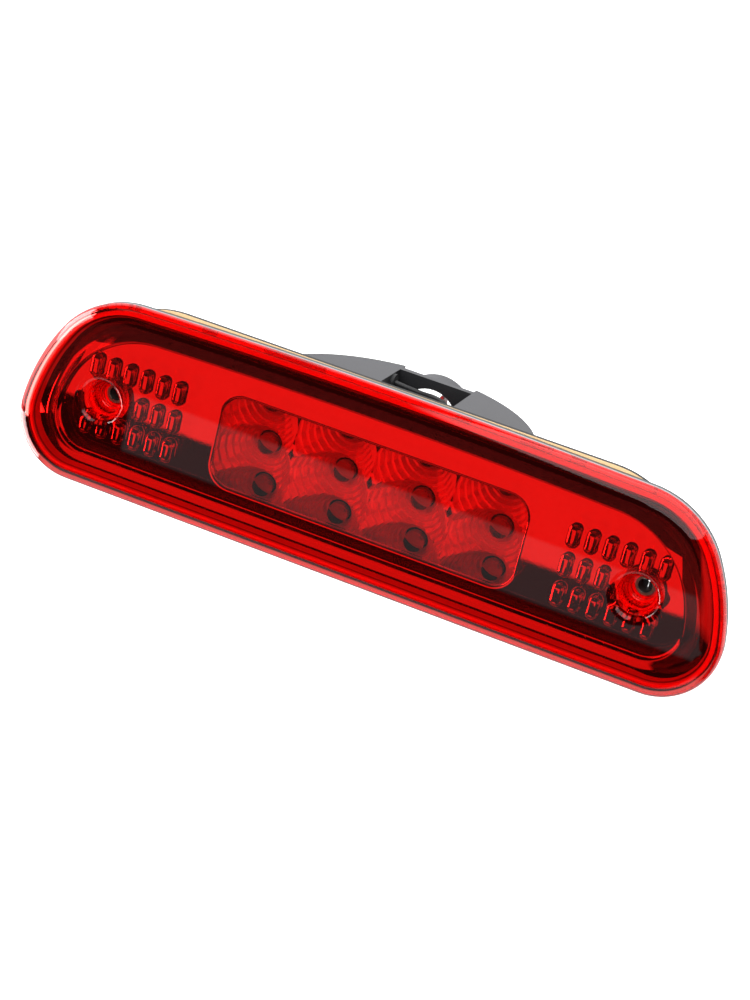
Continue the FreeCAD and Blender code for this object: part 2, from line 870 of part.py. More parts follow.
def rear_housing():
    """Dark housing: front plate, tray, drum with its wire pocket, collar and screw bosses."""
    start = "- housing_back_front"
    outer_tray = tray("TrayOutside", "0", start, "tray_depth")
    outer_drum = drum("DrumOutside", "drum_radius", "drum_half_height", start)
    solids = [housing_front(), outer_tray, outer_drum] + screw_bosses()
    shell = cut("HousingShell", fuse("HousingBlock", solids), housing_hollow())
    open_shell = cut("HousingOpen", shell, wire_pocket())
    with_collar = fuse("HousingCollared", [open_shell, collar_ring()])
    bores = [
        rod("CollarBore", "collar_bore_radius", "drum_radius", "0", "pocket_front", "collar_height")
    ]
    bores.append(
        rod("RedBore", "grommet_neck_radius", "housing_wall", "red_exit_x",
            "pocket_front - housing_wall", "red_exit_z")
    )
    bores.append(
        rod("BlackBore", "grommet_neck_radius", "housing_wall",
            "- pocket_half_width - housing_wall", "black_exit_y", "black_exit_z", SIDEWAYS)
    )
    for side, sign in SIDES:
        x = "%d * screw_offset" % sign
        start = "- well_back_front"
        bores.append(rod("SleeveBore_" + side, "sleeve_radius", "well_back_front", x, start))
        room = "well_tube_radius + bezel_gap"
        depth = "lens_back_front - well_back_front"
        bores.append(rod("TubeBore_" + side, room, depth, x, "- lens_back_front"))
    bore_group = fuse("HousingBores", bores)
    return finish(cut("RearHousing", with_collar, bore_group), "rear_housing")


def screw_sleeves():
    """Metal sleeves that take the clamping load of the mounting screws."""
    for side, sign in SIDES:
        x = "%d * screw_offset" % sign
        length = "well_back_front + well_floor_wall"
        start = "- well_back_front - well_floor_wall"
        outside = rod("SleeveOut_" + side, "sleeve_radius", length, x, start)
        inside = rod("SleeveIn_" + side, "sleeve_bore_radius", length, x, start)
        finish(cut("Sleeve_" + side, outside, inside), "screw_sleeve_" + side)


# ---- pigtail ------------------------------------------------------------------------------


def grommet(label, x, y, z, lip_x, lip_y, turn):
    """Rubber bushing of one wire: a neck through the pocket's wall and a lip outside it."""
    length = "housing_wall + grommet_lip"
    neck = rod(label + "Neck", "grommet_neck_radius", length, x, y, z, turn)
    lip = rod(label + "Lip", "grommet_radius", "grommet_lip", lip_x, lip_y, z, turn)
    return finish(fuse(label + "Bushing", [neck, lip]), "wire_grommet_" + label.lower())


def grommets():
    """The red wire's bushing is in the pocket's front wall, the black wire's in its left wall."""
    front = "pocket_front - housing_wall"
    left = "- pocket_half_width - housing_wall"
    grommet("Red", "red_exit_x", front, "red_exit_z", "red_exit_x", "pocket_front", BACKWARD)
    side = "- pocket_half_width"
    grommet("Black", left, "black_exit_y", "black_exit_z", side, "black_exit_y", SIDEWAYS)


def rounded_path(points):
    """Straight runs joined by tangent arcs as large as their two runs allow."""
    route = [Vector(*point) for point in points]
    edges = []
    radii = []
    start = route[0]
    for before, corner, after in zip(route, route[1:], route[2:]):
        into = (corner - before).normalize()
        out = (after - corner).normalize()
        turn = into.getAngle(out)
        trim = 0.45 * min((corner - before).Length, (after - corner).Length)
        radii.append(trim / math.tan(turn / 2))
        arc_start = corner - into * trim
        arc_end = corner + out * trim
        inward = (out - into).normalize()
        sagitta = radii[-1] * (1 / math.cos(turn / 2) - 1)
        middle = corner + inward * sagitta
        edges.append(Part.LineSegment(start, arc_start).toShape())
        edges.append(Part.Arc(arc_start, middle, arc_end).toShape())
        start = arc_end
    edges.append(Part.LineSegment(start, route[-1]).toShape())
    print("arc radii", [round(radius, 1) for radius in radii])
    return Part.Wire(edges)


def wire(label, points):
    """One insulated wire, swept along its rounded route."""
    path = rounded_path(points)
    first = Vector(*points[0])
    along = Vector(*points[1]) - first
    radius = size("wire_radius")
    section = Part.Wire(Part.Circle(first, along, radius).toShape())
    tube = path.makePipeShell([section], True, True)
    share = tube.Volume / (math.pi * radius**2 * path.Length)
    print(label, "length", round(path.Length, 1), "volume share", round(share, 4))
    thing = doc.addObject("Part::Feature", "Tube_" + label)
    thing.Shape = tube
    return finish(thing, label)


def plug_block(name, label, width, depth, height, bottom, tools):
    """A rectangular piece of the plug, centred on it, less its tools."""
    x = "plug_x - ( %s ) / 2" % width
    y = "plug_y - ( %s ) / 2" % depth
    block = box(name + "Block", width, depth, height, x, y, bottom)
    if not tools:
        return finish(block, label)
    return finish(cut(name, block, fuse(name + "Tools", tools)), label)


def blades():
    """The two contact blades, one behind each wire, standing in the plug's mouth."""
    for label, side in (("terminal_red", -1), ("terminal_black", 1)):
        x = "plug_x + %d * wire_spacing / 2 - blade_width / 2" % side
        y = "plug_y - blade_thickness / 2"
        base = "plug_top - plug_length + plug_mouth_depth"
        thing = box("Blade_" + label, "blade_width", "blade_thickness", "blade_length", x, y,
                    base + " - blade_length")
        finish(thing, label)


def plug():
    """Two-way plug at the end of the wires: shell, wire seal and locking plate."""
    bottom = "plug_top - plug_length"
    mouth_width = "plug_width - 2 * plug_wall"
    mouth_depth = "plug_depth - 2 * plug_wall"
    mouth = box("PlugMouth", mouth_width, mouth_depth, "plug_mouth_depth",
                "plug_x - ( %s ) / 2" % mouth_width, "plug_y - ( %s ) / 2" % mouth_depth, bottom)
    slot_height = "lock_height"
    slot_floor = bottom + " + plug_mouth_depth + 2 * lock_height"
    slot = box("LockSlot", mouth_width, "plug_depth / 2", slot_height,
               "plug_x - ( %s ) / 2" % mouth_width, "plug_y", slot_floor)
    plug_block("PlugShell", "connector_shell", "plug_width", "plug_depth", "plug_length",
               bottom, [mouth, slot])
    lock = box("LockPlate", mouth_width, "plug_depth / 2 + plug_wall / 2", slot_height,
               "plug_x - ( %s ) / 2" % mouth_width, "plug_y", slot_floor)
    finish(lock, "connector_lock")
    plug_block("PlugSeal", "connector_seal", mouth_width, mouth_depth, "plug_seal_height",
               "plug_top", [])
    blades()


def pigtail():
    """Two grommets, two wires and the plug."""
    grommets()
    wire("wire_red", RED_ROUTE)
    wire("wire_black", BLACK_ROUTE)
    plug()


outer_lens()
lens_seal()
front_bezel()
led_reflector()
led_board()
leds()
board_parts()
module_screws()
rear_housing()
screw_sleeves()
gasket()
pigtail()
doc.recompute()

for thing in doc.Objects:
    if "Invalid" in thing.State or "Error" in thing.State:
        raise RuntimeError("not built: " + thing.Label + " " + str(thing.State))
for thing in PARTS:
    if thing.Shape.isNull() or not thing.Shape.isValid():
        raise RuntimeError("bad shape: " + thing.Label)
for thing in PARTS:
    thing.Shape.exportStep("parts/" + thing.Label + ".step")
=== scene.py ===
"""Third brake light: the visual model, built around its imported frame.

The lens looks along -Y, +X runs along the lamp and +Z is up. All lengths are in metres.
"""

import logging
import math
from collections.abc import Iterable, Sequence
from dataclasses import dataclass, field
from enum import Enum

import bmesh
import bpy
from mathutils import Matrix, Vector


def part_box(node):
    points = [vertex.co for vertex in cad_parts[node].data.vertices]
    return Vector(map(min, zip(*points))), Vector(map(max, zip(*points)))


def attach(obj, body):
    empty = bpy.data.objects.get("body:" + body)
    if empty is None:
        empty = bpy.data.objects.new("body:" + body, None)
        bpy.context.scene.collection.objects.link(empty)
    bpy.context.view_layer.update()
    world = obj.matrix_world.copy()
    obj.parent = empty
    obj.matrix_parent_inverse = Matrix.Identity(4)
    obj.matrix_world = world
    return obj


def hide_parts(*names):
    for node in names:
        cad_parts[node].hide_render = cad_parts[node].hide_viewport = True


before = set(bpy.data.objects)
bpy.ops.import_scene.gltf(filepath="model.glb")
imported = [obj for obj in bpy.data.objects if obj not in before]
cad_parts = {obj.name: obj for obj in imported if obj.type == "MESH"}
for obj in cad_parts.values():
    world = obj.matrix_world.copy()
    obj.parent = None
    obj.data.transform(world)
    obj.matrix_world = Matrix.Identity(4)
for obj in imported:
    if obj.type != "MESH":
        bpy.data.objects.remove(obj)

LOG = logging.getLogger("brake_light")
MM = 0.001
BODY = "root"

Point = tuple[float, float, float]
Colour = tuple[float, float, float, float]
Ring = list[Vector]


# ---- small helpers ------------------------------------------------------------------------


def link(name: str, mesh: bpy.types.Mesh) -> bpy.types.Object:
    """Put a mesh into the scene as an object at the origin.

    Args:
        name: The object's name.
        mesh: Its mesh.

    Returns:
        The new object.
    """
    thing = bpy.data.objects.new(name, mesh)
    bpy.context.scene.collection.objects.link(thing)
    return thing


def from_bmesh(name: str, bm: bmesh.types.BMesh, sharp_degrees: float) -> bpy.types.Object:
    """Turn a bmesh into a smooth-shaded object with sharp edges above an angle.

    Args:
        name: The object's name.
        bm: The mesh under construction; it is freed.
        sharp_degrees: Edges steeper than this stay sharp.

    Returns:
        The new object.
    """
    mesh = bpy.data.meshes.new(name)
    bm.to_mesh(mesh)
    bm.free()
    mesh.shade_smooth()
    mesh.set_sharp_from_angle(angle=math.radians(sharp_degrees))
    return link(name, mesh)


def add_ring(bm: bmesh.types.BMesh, points: Iterable[Vector]) -> list[bmesh.types.BMVert]:
    """Add the points of one ring to a mesh and return its vertices."""
    return [bm.verts.new(point) for point in points]


def bridge(
    bm: bmesh.types.BMesh,
    first: Sequence[bmesh.types.BMVert],
    second: Sequence[bmesh.types.BMVert],
) -> None:
    """Join two closed rings of equal length with quads.

    Args:
        bm: The mesh under construction.
        first: One ring.
        second: The next ring, in the same order.
    """
    count = len(first)
    for index in range(count):
        after = (index + 1) % count
        bm.faces.new((first[index], first[after], second[after], second[index]))


def loft(bm: bmesh.types.BMesh, rings: Sequence[Ring]) -> list[list[bmesh.types.BMVert]]:
    """Skin a row of closed rings.

    Args:
        bm: The mesh under construction.
        rings: Rings of equal length.

    Returns:
        The vertices of every ring.
    """
    made = [add_ring(bm, ring) for ring in rings]
    for first, second in zip(made, made[1:]):
        bridge(bm, first, second)
    return made


def ring_edges(
    bm: bmesh.types.BMesh, ring: Sequence[bmesh.types.BMVert]
) -> list[bmesh.types.BMEdge]:
    """Edges that run round a ring, made where they are missing."""
    edges = []
    for index, vertex in enumerate(ring):
        other = ring[(index + 1) % len(ring)]
        edge = bm.edges.get((vertex, other))
        edges.append(edge if edge else bm.edges.new((vertex, other)))
    return edges


def fill_flat(
    bm: bmesh.types.BMesh, rings: Sequence[Sequence[bmesh.types.BMVert]], normal: Point
) -> None:
    """Fill the flat area between an outer ring and the holes in it.

    Args:
        bm: The mesh under construction.
        rings: The outer ring and the rings of the holes.
        normal: The direction the new faces look in.
    """
    edges = [edge for ring in rings for edge in ring_edges(bm, ring)]
    bmesh.ops.triangle_fill(bm, edges=edges, use_beauty=True, normal=Vector(normal))


def circle(centre_x: float, centre_z: float, radius: float, y: float, count: int) -> Ring:
    """A ring about the Y direction."""
    turn = 2 * math.pi / count
    return [
        Vector(
            (
                centre_x + radius * math.cos(turn * step),
                y,
                centre_z + radius * math.sin(turn * step),
            )
        )
        for step in range(count)
    ]


def close_up(bm: bmesh.types.BMesh) -> None:
    """Merge doubles and point every face outwards."""
    bmesh.ops.remove_doubles(bm, verts=bm.verts, dist=1e-7)
    bmesh.ops.recalc_face_normals(bm, faces=bm.faces)


# ---- outlines -----------------------------------------------------------------------------


@dataclass(frozen=True)
class Outline:
    """A long outline, flat below and crowned above, with three arcs round each end.

    Each arc is a centre and a radius, in millimetres: the low corner, the side and the
    shoulder. The crown's centre lies on the middle line.
    """

    low: tuple[float, float, float]
    side_x: float
    side_radius: float
    shoulder_radius: float
    top: float
    crown_radius: float
    steps: tuple[int, int, int, int, int] = (64, 18, 14, 20, 64)

    def centres(self) -> tuple[Vector, Vector, Vector, Vector]:
        """Centres of the low, side, shoulder and crown arcs on the right."""
        low = Vector(self.low[:2])
        span = self.side_radius - self.low[2]
        side = Vector((self.side_x, low.y - math.sqrt(span**2 - (low.x - self.side_x) ** 2)))
        crown = Vector((0.0, self.top - self.crown_radius))
        from_side = self.side_radius - self.shoulder_radius
        from_crown = self.crown_radius - self.shoulder_radius
        apart = side - crown
        gap = apart.length
        along = (gap**2 + from_side**2 - from_crown**2) / (2 * gap)
        away = math.sqrt(from_side**2 - along**2)
        axis = apart.normalized()
        shoulder = side - axis * along + Vector((axis.y, -axis.x)) * away
        return low, side, shoulder, crown

    def ring(self, y: float, inset: float = 0.0) -> Ring:
        """Points round the outline, moved inwards by an inset.

        Args:
            y: The plane of the ring, in metres.
            inset: Distance inwards from the outline, in metres.

        Returns:
            The ring, counter-clockwise from the left end of the bottom line.
        """
        low, side, shoulder, crown = self.centres()
        less = inset / MM
        first = math.atan2(low.y - side.y, low.x - side.x)
        second = math.atan2(shoulder.y - side.y, shoulder.x - side.x)
        third = math.atan2(shoulder.y - crown.y, shoulder.x - crown.x)
        right = (
            (low, self.low[2], -math.pi / 2, first, self.steps[1]),
            (side, self.side_radius, first, second, self.steps[2]),
            (shoulder, self.shoulder_radius, second, third, self.steps[3]),
        )
        bottom = low.y - self.low[2] + less
        flat = []
        for step in range(self.steps[0]):
            flat.append((low.x * (2 * step / self.steps[0] - 1), bottom))
        for centre, radius, start, stop, steps in right:
            flat += arc_points(centre, radius - less, start, stop, steps)
        flat += arc_points(crown, self.crown_radius - less, third, math.pi - third, self.steps[4])
        for centre, radius, start, stop, steps in reversed(right):
            mirrored = Vector((-centre.x, centre.y))
            turned = (math.pi - stop, math.pi - start)
            flat += arc_points(mirrored, radius - less, *turned, steps)
        return [Vector((x * MM, y, z * MM)) for x, z in flat]


def arc_points(
    centre: Vector, radius: float, start: float, stop: float, steps: int
) -> list[tuple[float, float]]:
    """Points along an arc, without its last one."""
    angles = [start + (stop - start) * step / steps for step in range(steps)]
    return [(centre.x + radius * math.cos(a), centre.y + radius * math.sin(a)) for a in angles]


LENS_OUTLINE = Outline((114.68, -12.11, 23.76), 61.98, 76.88, 34.68, 39.31, 3051.0)
FLOOR_OUTLINE = Outline((110.4, -10.2, 13.0), 79.46, 44.0, 34.2, 27.34, 2400.0)


def rounded_rectangle(
    half_length: float, half_height: float, corner: float, y: float, steps: int = 10
) -> Ring:
    """A rectangle with round corners, as a ring.

    Args:
        half_length: Half its size along X.
        half_height: Half its size along Z.
        corner: Radius of the corners.
        y: The plane of the ring.
        steps: Points on each corner.

    Returns:
        The ring, counter-clockwise.
    """
    points = []
    for quadrant, (side_x, side_z) in enumerate(((1, -1), (1, 1), (-1, 1), (-1, -1))):
        start = (quadrant - 1) * math.pi / 2
        for step in range(steps + 1):
            angle = start + math.pi / 2 * step / steps
            x = side_x * (half_length - corner) + corner * math.cos(angle)
            z = side_z * (half_height - corner) + corner * math.sin(angle)
            points.append(Vector((x, y, z)))
    return points


# ---- shader tools -------------------------------------------------------------------------


class NodeTree:
    """A thin wrapper that adds nodes and links by name."""

    def __init__(self, tree: bpy.types.NodeTree) -> None:
        """Keep the tree to build in."""
        self.tree = tree

    def add(self, kind: str, **settings: object) -> bpy.types.Node:
        """Add a node, set its properties, and link or set its inputs.

        Args:
            kind: The node's type.
            **settings: Properties by name, or inputs as a dictionary under "inputs".

        Returns:
            The node.
        """
        inputs = settings.pop("inputs", {})
        node = self.tree.nodes.new(kind)
        for name, value in settings.items():
            setattr(node, name, value)
        for key, value in inputs.items():
            if isinstance(value, bpy.types.NodeSocket):
                self.tree.links.new(value, node.inputs[key])
            else:
                node.inputs[key].default_value = value
        return node

    def math(self, operation: str, *values: object, clamp: bool = False) -> bpy.types.NodeSocket:
        """A Math node on numbers or sockets, and its result."""
        inputs = dict(enumerate(values))
        node = self.add("ShaderNodeMath", operation=operation, use_clamp=clamp, inputs=inputs)
        return node.outputs[0]

    def vector(self, operation: str, *values: object) -> bpy.types.Node:
        """A Vector Math node on vectors or sockets."""
        inputs = dict(enumerate(values))
        return self.add("ShaderNodeVectorMath", operation=operation, inputs=inputs)

    def group(self, tree: bpy.types.NodeTree, **inputs: object) -> bpy.types.Node:
        """Place a node group with its values; underscores in names stand for blanks."""
        node = self.tree.nodes.new("ShaderNodeGroup")
        node.node_tree = tree
        for name, value in inputs.items():
            socket = node.inputs[name.replace("_", " ")]
            if isinstance(value, bpy.types.NodeSocket):
                self.tree.links.new(value, socket)
            else:
                socket.default_value = value
        return node

    def mix_colour(self, share: object, first: object, second: object) -> bpy.types.NodeSocket:
        """Blend two colours."""
        node = self.tree.nodes.new("ShaderNodeMix")
        node.data_type = "RGBA"
        for index, value in ((0, share), (6, first), (7, second)):
            if isinstance(value, bpy.types.NodeSocket):
                self.tree.links.new(value, node.inputs[index])
            else:
                node.inputs[index].default_value = value
        return node.outputs[2]

    def object_position(self) -> bpy.types.NodeSocket:
        """Object coordinates, in metres."""
        return self.add("ShaderNodeTexCoord").outputs["Object"]


def new_group(name: str, inputs: dict[str, float], outputs: Sequence[str]) -> NodeTree:
    """Start a shader node group of number sockets, with a Position input.

    Args:
        name: The group's name.
        inputs: Names and default values of its number inputs.
        outputs: Names of its number outputs.

    Returns:
        The wrapped tree, with its input and output nodes added.
    """
    tree = bpy.data.node_groups.new(name, "ShaderNodeTree")
    tree.interface.new_socket("Position", in_out="INPUT", socket_type="NodeSocketVector")
    for label, value in inputs.items():
        socket = tree.interface.new_socket(label, in_out="INPUT", socket_type="NodeSocketFloat")
        socket.default_value = value
    for label in outputs:
        tree.interface.new_socket(label, in_out="OUTPUT", socket_type="NodeSocketFloat")
    return NodeTree(tree)


def grain_group() -> bpy.types.NodeTree:
    """Fine moulded grain: a height and a tone that change over the surface."""
    nodes = new_group("Moulded Grain", {"Scale": 900.0, "Strength": 1.0}, ("Height", "Tone"))
    source = nodes.add("NodeGroupInput")
    fine = nodes.add(
        "ShaderNodeTexNoise",
        inputs={"Vector": source.outputs["Position"], "Scale": source.outputs["Scale"],
                "Detail": 4.0, "Roughness": 0.6},
    )
    wide_scale = nodes.math("MULTIPLY", source.outputs["Scale"], 0.04)
    wide = nodes.add(
        "ShaderNodeTexNoise",
        inputs={"Vector": source.outputs["Position"], "Scale": wide_scale, "Detail": 3.0},
    )
    height = nodes.math("MULTIPLY", fine.outputs["Fac"], source.outputs["Strength"])
    result = nodes.add("NodeGroupOutput")
    nodes.tree.links.new(height, result.inputs["Height"])
    nodes.tree.links.new(wide.outputs["Fac"], result.inputs["Tone"])
    return nodes.tree


def dust_group() -> bpy.types.NodeTree:
    """Sparse specks of dust: a mask of zero with small islands."""
    nodes = new_group("Dust Specks", {"Scale": 700.0, "Amount": 0.1}, ("Mask",))
    source = nodes.add("NodeGroupInput")
    cells = nodes.add(
        "ShaderNodeTexVoronoi",
        inputs={"Vector": source.outputs["Position"], "Scale": source.outputs["Scale"]},
    )
    patches = nodes.add(
        "ShaderNodeTexNoise", inputs={"Vector": source.outputs["Position"], "Scale": 60.0}
    )
    near = nodes.math("SUBTRACT", 0.12, cells.outputs["Distance"])
    shown = nodes.math("MULTIPLY", near, 10.0, clamp=True)
    dusty = nodes.math("SUBTRACT", patches.outputs["Fac"], 0.5)
    dusty = nodes.math("MULTIPLY", dusty, 4.0, clamp=True)
    mask = nodes.math("MULTIPLY", shown, dusty)
    mask = nodes.math("MULTIPLY", mask, source.outputs["Amount"])
    result = nodes.add("NodeGroupOutput")
    nodes.tree.links.new(mask, result.inputs["Mask"])
    return nodes.tree


def band_group() -> bpy.types.NodeTree:
    """A soft-edged band between two values of a number: one inside, zero outside."""
    tree = bpy.data.node_groups.new("Soft Band", "ShaderNodeTree")
    for label in ("Value", "Low", "High", "Softness"):
        tree.interface.new_socket(label, in_out="INPUT", socket_type="NodeSocketFloat")
    tree.interface.new_socket("Mask", in_out="OUTPUT", socket_type="NodeSocketFloat")
    nodes = NodeTree(tree)
    source = nodes.add("NodeGroupInput")
    value, low, high, soft = (source.outputs[index] for index in range(4))
    rise = nodes.math("DIVIDE", nodes.math("SUBTRACT", value, low), soft)
    fall = nodes.math("DIVIDE", nodes.math("SUBTRACT", high, value), soft)
    rise = nodes.math("ADD", rise, 0.5, clamp=True)
    fall = nodes.math("ADD", fall, 0.5, clamp=True)
    result = nodes.add("NodeGroupOutput")
    nodes.tree.links.new(nodes.math("MULTIPLY", rise, fall), result.inputs["Mask"])
    return tree


# ---- finishes -----------------------------------------------------------------------------


@dataclass
class Effects:
    """The node groups that several finishes share."""

    grain: bpy.types.NodeTree = field(default_factory=grain_group)
    dust: bpy.types.NodeTree = field(default_factory=dust_group)
    band: bpy.types.NodeTree = field(default_factory=band_group)


def start_material(name: str) -> tuple[bpy.types.Material, NodeTree, bpy.types.Node]:
    """Make a material with an empty Principled shader linked to its output.

    Args:
        name: The material's name.

    Returns:
        The material, its wrapped tree and the shader node.
    """
    material = bpy.data.materials.new(name)
    material.use_nodes = True
    nodes = NodeTree(material.node_tree)
    shader = material.node_tree.nodes["Principled BSDF"]
    return material, nodes, shader


def link_bump(
    nodes: NodeTree, shader: bpy.types.Node, height: bpy.types.NodeSocket, distance: float,
    strength: float = 1.0,
) -> None:
    """Feed a height into the shader's normal.

    Args:
        nodes: The material's tree.
        shader: The shader.
        height: The height socket.
        distance: Depth of the relief, in metres.
        strength: How much of it shows.
    """
    bump = nodes.add(
        "ShaderNodeBump", inputs={"Height": height, "Distance": distance, "Strength": strength}
    )
    nodes.tree.links.new(bump.outputs["Normal"], shader.inputs["Normal"])


@dataclass(frozen=True)
class MouldedPlastic:
    """Opaque moulded plastic or rubber with a fine grain."""

    name: str
    colour: Colour
    roughness: float
    grain_scale: float = 900.0
    grain_depth: float = 0.00003
    tone_change: float = 0.25
    dust: float = 0.15

    def make(self, effects: Effects) -> bpy.types.Material:
        """Build the material.

        Args:
            effects: The shared node groups.

        Returns:
            The material.
        """
        material, nodes, shader = start_material(self.name)
        place = nodes.object_position()
        grain = nodes.group(effects.grain, Position=place, Scale=self.grain_scale)
        dust = nodes.group(effects.dust, Position=place, Amount=self.dust)
        darker = tuple(part * (1 - self.tone_change) for part in self.colour[:3]) + (1.0,)
        base = nodes.mix_colour(grain.outputs["Tone"], darker, self.colour)
        dusty = nodes.mix_colour(dust.outputs["Mask"], base, (0.55, 0.53, 0.5, 1.0))
        nodes.tree.links.new(dusty, shader.inputs["Base Color"])
        rough = nodes.math("MULTIPLY_ADD", grain.outputs["Tone"], 0.12, self.roughness - 0.06)
        nodes.tree.links.new(rough, shader.inputs["Roughness"])
        link_bump(nodes, shader, grain.outputs["Height"], self.grain_depth)
        return material


@dataclass(frozen=True)
class MirrorMetal:
    """Vacuum-metallised plastic: a mirror with faint orange peel."""

    name: str
    colour: Colour
    roughness: float
    peel_scale: float = 260.0
    peel_depth: float = 0.000004
    metallic: float = 1.0

    def make(self, effects: Effects) -> bpy.types.Material:
        """Build the material.

        Args:
            effects: The shared node groups.

        Returns:
            The material.
        """
        material, nodes, shader = start_material(self.name)
        place = nodes.object_position()
        shader.inputs["Metallic"].default_value = self.metallic
        grain = nodes.group(effects.grain, Position=place, Scale=self.peel_scale)
        dust = nodes.group(effects.dust, Position=place, Amount=0.35, Scale=420.0)
        base = nodes.mix_colour(dust.outputs["Mask"], self.colour, (0.3, 0.3, 0.3, 1.0))
        nodes.tree.links.new(base, shader.inputs["Base Color"])
        rough = nodes.math("MULTIPLY_ADD", grain.outputs["Tone"], 0.01, self.roughness)
        nodes.tree.links.new(rough, shader.inputs["Roughness"])
        link_bump(nodes, shader, grain.outputs["Height"], self.peel_depth)
        return material


@dataclass(frozen=True)
class ClearPlastic:
    """Transparent coloured plastic, which lets tinted light through to what is inside."""

    name: str
    colour: Colour
    shine: Colour
    roughness: float
    index: float = 1.49

    def make(self, effects: Effects) -> bpy.types.Material:
        """Build the material.

        Args:
            effects: The shared node groups.

        Returns:
            The material.
        """
        material, nodes, shader = start_material(self.name)
        place = nodes.object_position()
        shader.inputs["Transmission Weight"].default_value = 1.0
        shader.inputs["IOR"].default_value = self.index
        shader.inputs["Specular Tint"].default_value = self.shine
        shader.inputs["Base Color"].default_value = self.colour
        dust = nodes.group(effects.dust, Position=place, Amount=0.12, Scale=520.0)
        rough = nodes.math("ADD", dust.outputs["Mask"], self.roughness)
        nodes.tree.links.new(rough, shader.inputs["Roughness"])
        path = nodes.add("ShaderNodeLightPath")
        through = nodes.add("ShaderNodeBsdfTransparent", inputs={"Color": self.colour})
        mixed = nodes.add("ShaderNodeMixShader")
        nodes.tree.links.new(path.outputs["Is Shadow Ray"], mixed.inputs[0])
        nodes.tree.links.new(shader.outputs[0], mixed.inputs[1])
        nodes.tree.links.new(through.outputs[0], mixed.inputs[2])
        output = nodes.tree.nodes["Material Output"]
        nodes.tree.links.new(mixed.outputs[0], output.inputs["Surface"])
        return material


@dataclass(frozen=True)
class HousingPlastic:
    """Dark plastic, pale on the rim and in the screw bosses, with painted shade, near black, on
    the wire pocket's walls.
    """

    name: str
    colour: Colour
    pale: Colour
    roughness: float
    side_y: float = -10.9 * MM
    rim_y: float = -12.45 * MM
    boss_x: float = 105 * MM
    boss_radius: float = 9.4 * MM
    boss_y: float = -4.6 * MM
    side: Colour = (0.3, 0.3, 0.31, 1.0)
    # painted shade: the near black given to the wire pocket's walls, which lie in shadow
    pocket_painted_shade: Colour = (0.012, 0.012, 0.013, 1.0)
    pocket_half: float = 14.6 * MM
    pocket_ends: tuple[float, float] = (19.7 * MM, 40.6 * MM)

    def pocket(self, nodes: NodeTree, parts: bpy.types.Node) -> bpy.types.NodeSocket:
        """A mask of the wire pocket's walls, where shade is painted near black.

        Args:
            nodes: The material's nodes.
            parts: The separated position.

        Returns:
            The mask's socket.
        """
        aside = nodes.math("ABSOLUTE", parts.outputs[0])
        mask = nodes.math("LESS_THAN", aside, self.pocket_half)
        for other in (nodes.math("GREATER_THAN", parts.outputs[1], self.pocket_ends[0]),
                      nodes.math("LESS_THAN", parts.outputs[1], self.pocket_ends[1]),
                      nodes.math("GREATER_THAN", parts.outputs[2], 0.0)):
            mask = nodes.math("MULTIPLY", mask, other)
        return mask

    def make(self, effects: Effects) -> bpy.types.Material:
        """Build the material.

        Args:
            effects: The shared node groups.

        Returns:
            The material.
        """
        material, nodes, shader = start_material(self.name)
        place = nodes.object_position()
        grain = nodes.group(effects.grain, Position=place, Scale=1500.0)
        parts = nodes.add("ShaderNodeSeparateXYZ", inputs={0: place})
        rim = nodes.math("LESS_THAN", parts.outputs[1], self.rim_y)
        sideways = nodes.math("SUBTRACT", nodes.math("ABSOLUTE", parts.outputs[0]), self.boss_x)
        flat = nodes.add("ShaderNodeCombineXYZ", inputs={0: sideways, 2: parts.outputs[2]})
        away = nodes.vector("LENGTH", flat.outputs[0]).outputs["Value"]
        near = nodes.math("LESS_THAN", away, self.boss_radius)
        ahead = nodes.math("LESS_THAN", parts.outputs[1], self.boss_y)
        zone = nodes.math("MAXIMUM", rim, nodes.math("MULTIPLY", near, ahead))
        darker = tuple(part * 0.7 for part in self.colour[:3]) + (1.0,)
        base = nodes.mix_colour(grain.outputs["Tone"], darker, self.colour)
        beside = nodes.math("LESS_THAN", parts.outputs[1], self.side_y)
        base = nodes.mix_colour(beside, base, self.side)
        base = nodes.mix_colour(zone, base, self.pale)
        # painted shade: the wire pocket's walls are made near black
        base = nodes.mix_colour(self.pocket(nodes, parts), base, self.pocket_painted_shade)
        nodes.tree.links.new(base, shader.inputs["Base Color"])
        rough = nodes.math("MULTIPLY_ADD", grain.outputs["Tone"], 0.12, self.roughness - 0.06)
        nodes.tree.links.new(rough, shader.inputs["Roughness"])
        link_bump(nodes, shader, grain.outputs["Height"], 0.00006)
        return material


@dataclass(frozen=True)
class SleeveMetal:
    """Pale metal at the front rim of a sleeve, with painted shade inside its bore: near black and
    not metallic there.
    """

    name: str
    rim: Colour
    # painted shade: the near-black colour used inside the bore, behind the rim
    inside: Colour
    rim_y: float = -6.4 * MM

    def make(self, effects: Effects) -> bpy.types.Material:
        """Build the material.

        Args:
            effects: The shared node groups.

        Returns:
            The material.
        """
        material, nodes, shader = start_material(self.name)
        place = nodes.object_position()
        grain = nodes.group(effects.grain, Position=place, Scale=1500.0)
        parts = nodes.add("ShaderNodeSeparateXYZ", inputs={0: place})
        ahead = nodes.math("LESS_THAN", parts.outputs[1], self.rim_y)
        # painted shade: behind the rim the bore is made near black and not metallic
        base = nodes.mix_colour(ahead, self.inside, self.rim)
        nodes.tree.links.new(base, shader.inputs["Base Color"])
        nodes.tree.links.new(ahead, shader.inputs["Metallic"])
        rough = nodes.math("MULTIPLY_ADD", grain.outputs["Tone"], 0.2, 0.3)
        nodes.tree.links.new(rough, shader.inputs["Roughness"])
        return material


